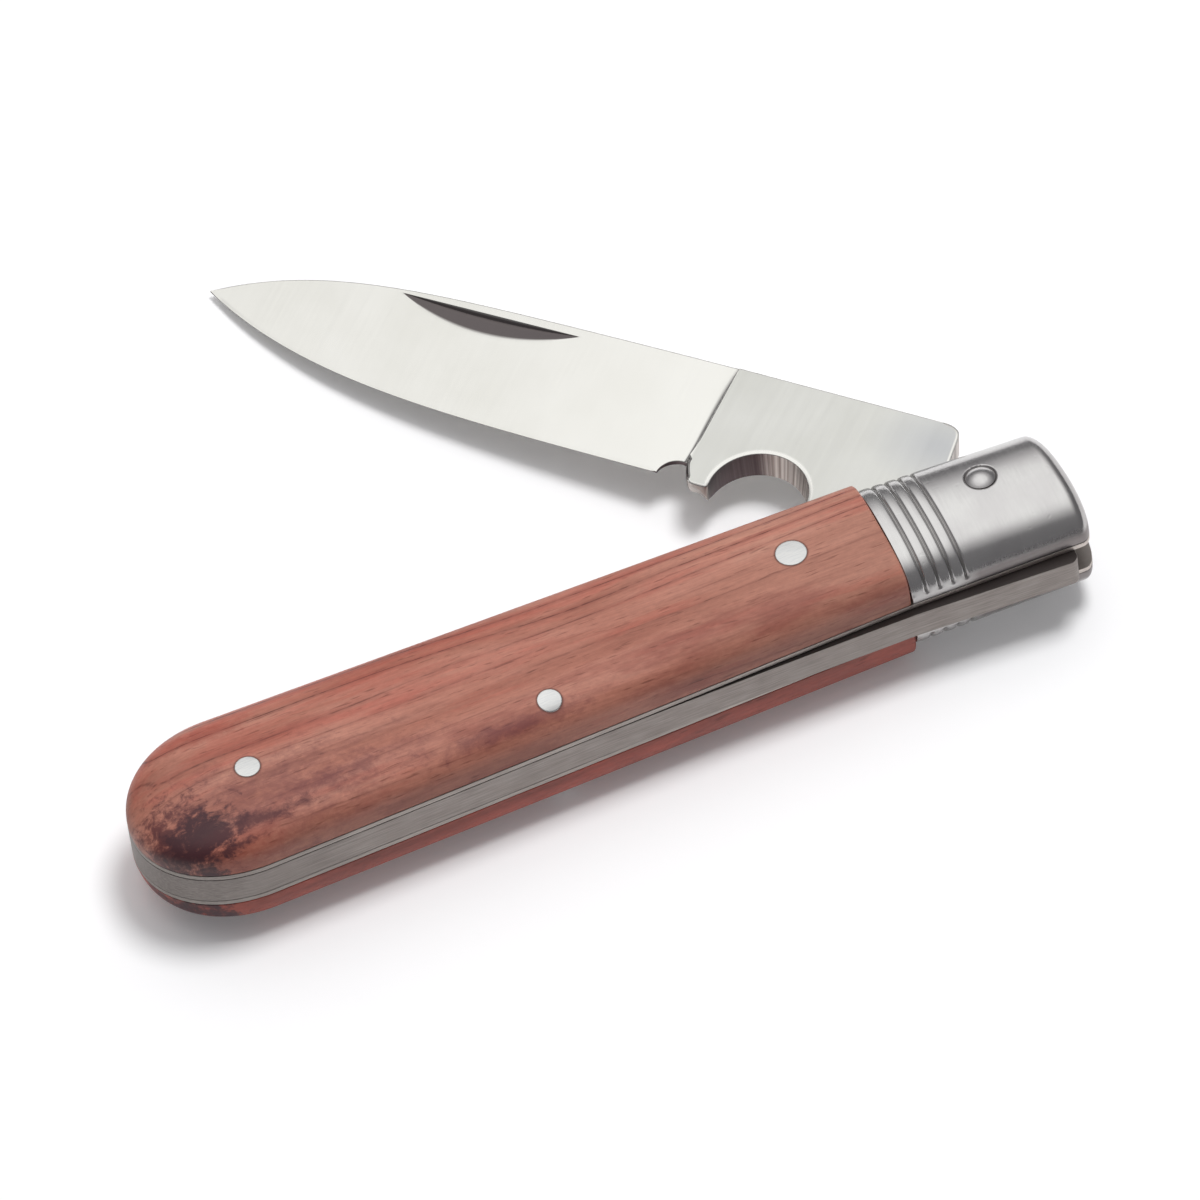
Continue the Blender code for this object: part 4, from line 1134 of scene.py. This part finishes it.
print("ground zone:", ground.shape[0], "sections of", ground.shape[1], "points")

# %% Join both zones into one blade
sections, around = ground.shape[:2]
rows, columns = tang.shape[:2]
base = sections * around
faces = grid_faces(sections, around, wrap=True)
faces += (np.array(grid_faces(rows, columns)) + base).tolist()
# Each flat face of the tang also takes in one side of the ground zone's first section.
top_row = np.arange(EDGE_STEPS + 1, EDGE_STEPS + lines.shape[1] - 1)[::-1]
border = base + np.arange(rows) * columns
faces += [np.append(border, top_row).tolist(),
          np.append(border + columns - 1, around - 1 - top_row).tolist()]
points = np.concatenate([ground.reshape(-1, 3), tang.reshape(-1, 3)])
# Near the finger notch the wheel's border bends towards the tip, by 0.35 mm at most.
bend = (share_of(points[:, 1], 0.2, 3.7) ** 2 * share_of(points[:, 1], 6.6, 4.1)
        * np.exp(-(points[:, 0] - PLUNGE) ** 2))
points[:, 0] += WHEEL_BEND * bend
marks = np.concatenate([cut_mark.ravel(), np.zeros(rows * columns)])
make_piece("blade_steel_body", from_blade(points), faces, "blade", "blade", "blade_steel",
           blade_steel, 11.0, nick=marks)

# %% [markdown]
# ## Floor, light and camera
#
# The knife rests on the rounded side of its lower scale, rolled a little towards the blade,
# whose tip hangs 0.4 mm above the table: the floor is tilted to that. It is plain pale matt
# board. A part of its brightness is only seen by the camera and in reflections, which keeps
# the ground white and leaves the shadow.

# %% Tilted floor
def support(names, tilt):
    """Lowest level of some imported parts, measured square to a floor tilted about x."""
    level = []
    for label in names:
        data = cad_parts[label].data
        spots = np.zeros(len(data.vertices) * 3, np.float32)
        data.vertices.foreach_get("co", spots)
        spots = spots.reshape(-1, 3)
        level.append((spots[:, 2] * np.cos(tilt) - spots[:, 1] * np.sin(tilt)).min())
    return min(level)


# The tilt is found by halving: more tilt brings the tip closer to the table.
TIP_GAP = 0.0004
FLOOR_GAP = 0.00002
handle_parts = [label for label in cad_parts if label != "blade"]
low_tilt, high_tilt = 0.0, np.radians(15.0)
for _ in range(30):
    tilt = (low_tilt + high_tilt) / 2
    if support(["blade"], tilt) - TIP_GAP > support(handle_parts, tilt):
        low_tilt = tilt
    else:
        high_tilt = tilt
level = min(support(["blade"], tilt), support(handle_parts, tilt)) - FLOOR_GAP
x, y = np.array([[-0.32, 0.32, 0.32, -0.32], [-0.145, -0.145, 0.34, 0.34]])
corners = np.stack([x, y * np.cos(tilt) - level * np.sin(tilt),
                    y * np.sin(tilt) + level * np.cos(tilt)], -1)
floor_mesh = bpy.data.meshes.new("floor")
floor_mesh.from_pydata(corners.tolist(), [], [(0, 1, 2, 3)])
floor = bpy.data.objects.new("floor", floor_mesh)
bpy.context.scene.collection.objects.link(floor)
print("floor tilted by", round(float(np.degrees(tilt)), 2), "degrees")

# %% Matt white board
BOARD_LIFT = 0.1
board = bpy.data.materials.new("matt_white_board")
board.use_nodes = True
tree = board.node_tree
shader = tree.nodes["Principled BSDF"]
for label, value in (("Base Color", linear("#f4f4f5")), ("Roughness", 0.9),
                     ("Specular IOR Level", 0.1), ("Emission Color", linear("#ffffff"))):
    shader.inputs[label].default_value = value
seen = add(tree, "LightPath", out="Is Camera Ray")
for kind in ("Is Glossy Ray", "Is Transmission Ray"):
    other = add(tree, "LightPath", out=kind)
    seen = add(tree, "Math.MAXIMUM", (seen, other))
lift = add(tree, "Math.MULTIPLY", (seen, BOARD_LIFT))
tree.links.new(lift, shader.inputs["Emission Strength"])
floor_mesh.materials.append(board)
print("board lifted by", BOARD_LIFT, "for the camera and for reflections")

# %% [markdown]
# ## Studio light
#
# Polished steel is drawn by what it mirrors. In the studio a broad white ceiling light hangs
# above and behind the knife, and the room in front, where the camera stands, is dim. The
# world holds that room: white round one direction and falling off to grey. A soft lamp high
# up on the bolster's side gives the shadow its direction.

# %% World, lamp and camera
def unit(way):
    """A direction at length 1."""
    return np.array(way) / np.linalg.norm(way)


def stand(name, data, place, right, behind):
    """Put a lamp or camera at a place, its own x axis to the right and its back behind."""
    turn = np.stack([right, np.cross(behind, right), behind], 1)
    item = bpy.data.objects.new(name, data)
    item.matrix_world = Matrix.Translation(place) @ Matrix(turn.tolist()).to_4x4()
    bpy.context.scene.collection.objects.link(item)
    return item


CEILING, LAMP = unit((0.05, 0.34, 0.94)), unit((0.28, 0.0, 1.0))
LAMP_AWAY = 1.2
world = bpy.data.worlds.new("studio_room")
bpy.context.scene.world = world
world.use_nodes = True
tree = world.node_tree
backdrop = tree.nodes["Background"]
gaze = add(tree, "TexCoord", out="Generated")
facing = add(tree, "VectorMath.DOT_PRODUCT", (gaze, tuple(CEILING)), "Value")
room = add(tree, "ValToRGB", (facing,), stops=[
    (0.0, "#6a696b"), (0.62, "#706f71"), (0.80, "#b8b7b8"), (0.93, "#fbfbfb")])
# The camera sees plain white, and all else is lit by the room.
seen = add(tree, "LightPath", out="Is Camera Ray")
tree.links.new(coat(tree, room, (seen, "#ffffff")), backdrop.inputs["Color"])
power = add(tree, "MapRange", (seen, 0.0, 1.0, 1.25, 1.0))
tree.links.new(power, backdrop.inputs["Strength"])

lamp_data = bpy.data.lights.new("soft_lamp", "AREA")
lamp_data.shape, lamp_data.size, lamp_data.energy = "DISK", 0.42, 8.6
over = (KNIFE_PLACE + (-40.0, 10.0, 0.0)) / 1000.0 + LAMP_AWAY * LAMP
lamp = stand("soft_lamp", lamp_data, over, unit(np.cross((0.0, 0.0, 1.0), LAMP)), LAMP)
lamp.visible_glossy = False

# The camera looks from the back edge's side, 49.5 degrees up, through a long lens.
right = unit((0.9198, -0.3803, -0.0971))
behind = unit(np.cross(right, (0.3498, 0.6821, 0.6421)))
above = np.cross(behind, right)
camera_data = bpy.data.cameras.new("camera")
camera_data.lens, camera_data.sensor_width = 480.0, 36.0
lens_place = KNIFE_PLACE + (0.1, 0.0, 0.0) - 42.63 * right - 7.94 * above + 1742.2 * behind
bpy.context.scene.camera = stand("camera", camera_data, lens_place / 1000.0, right, behind)
bpy.context.scene.view_settings.view_transform = "Standard"
print("camera", round(float(np.linalg.norm(lens_place)) / 1000.0, 2), "m from the knife")
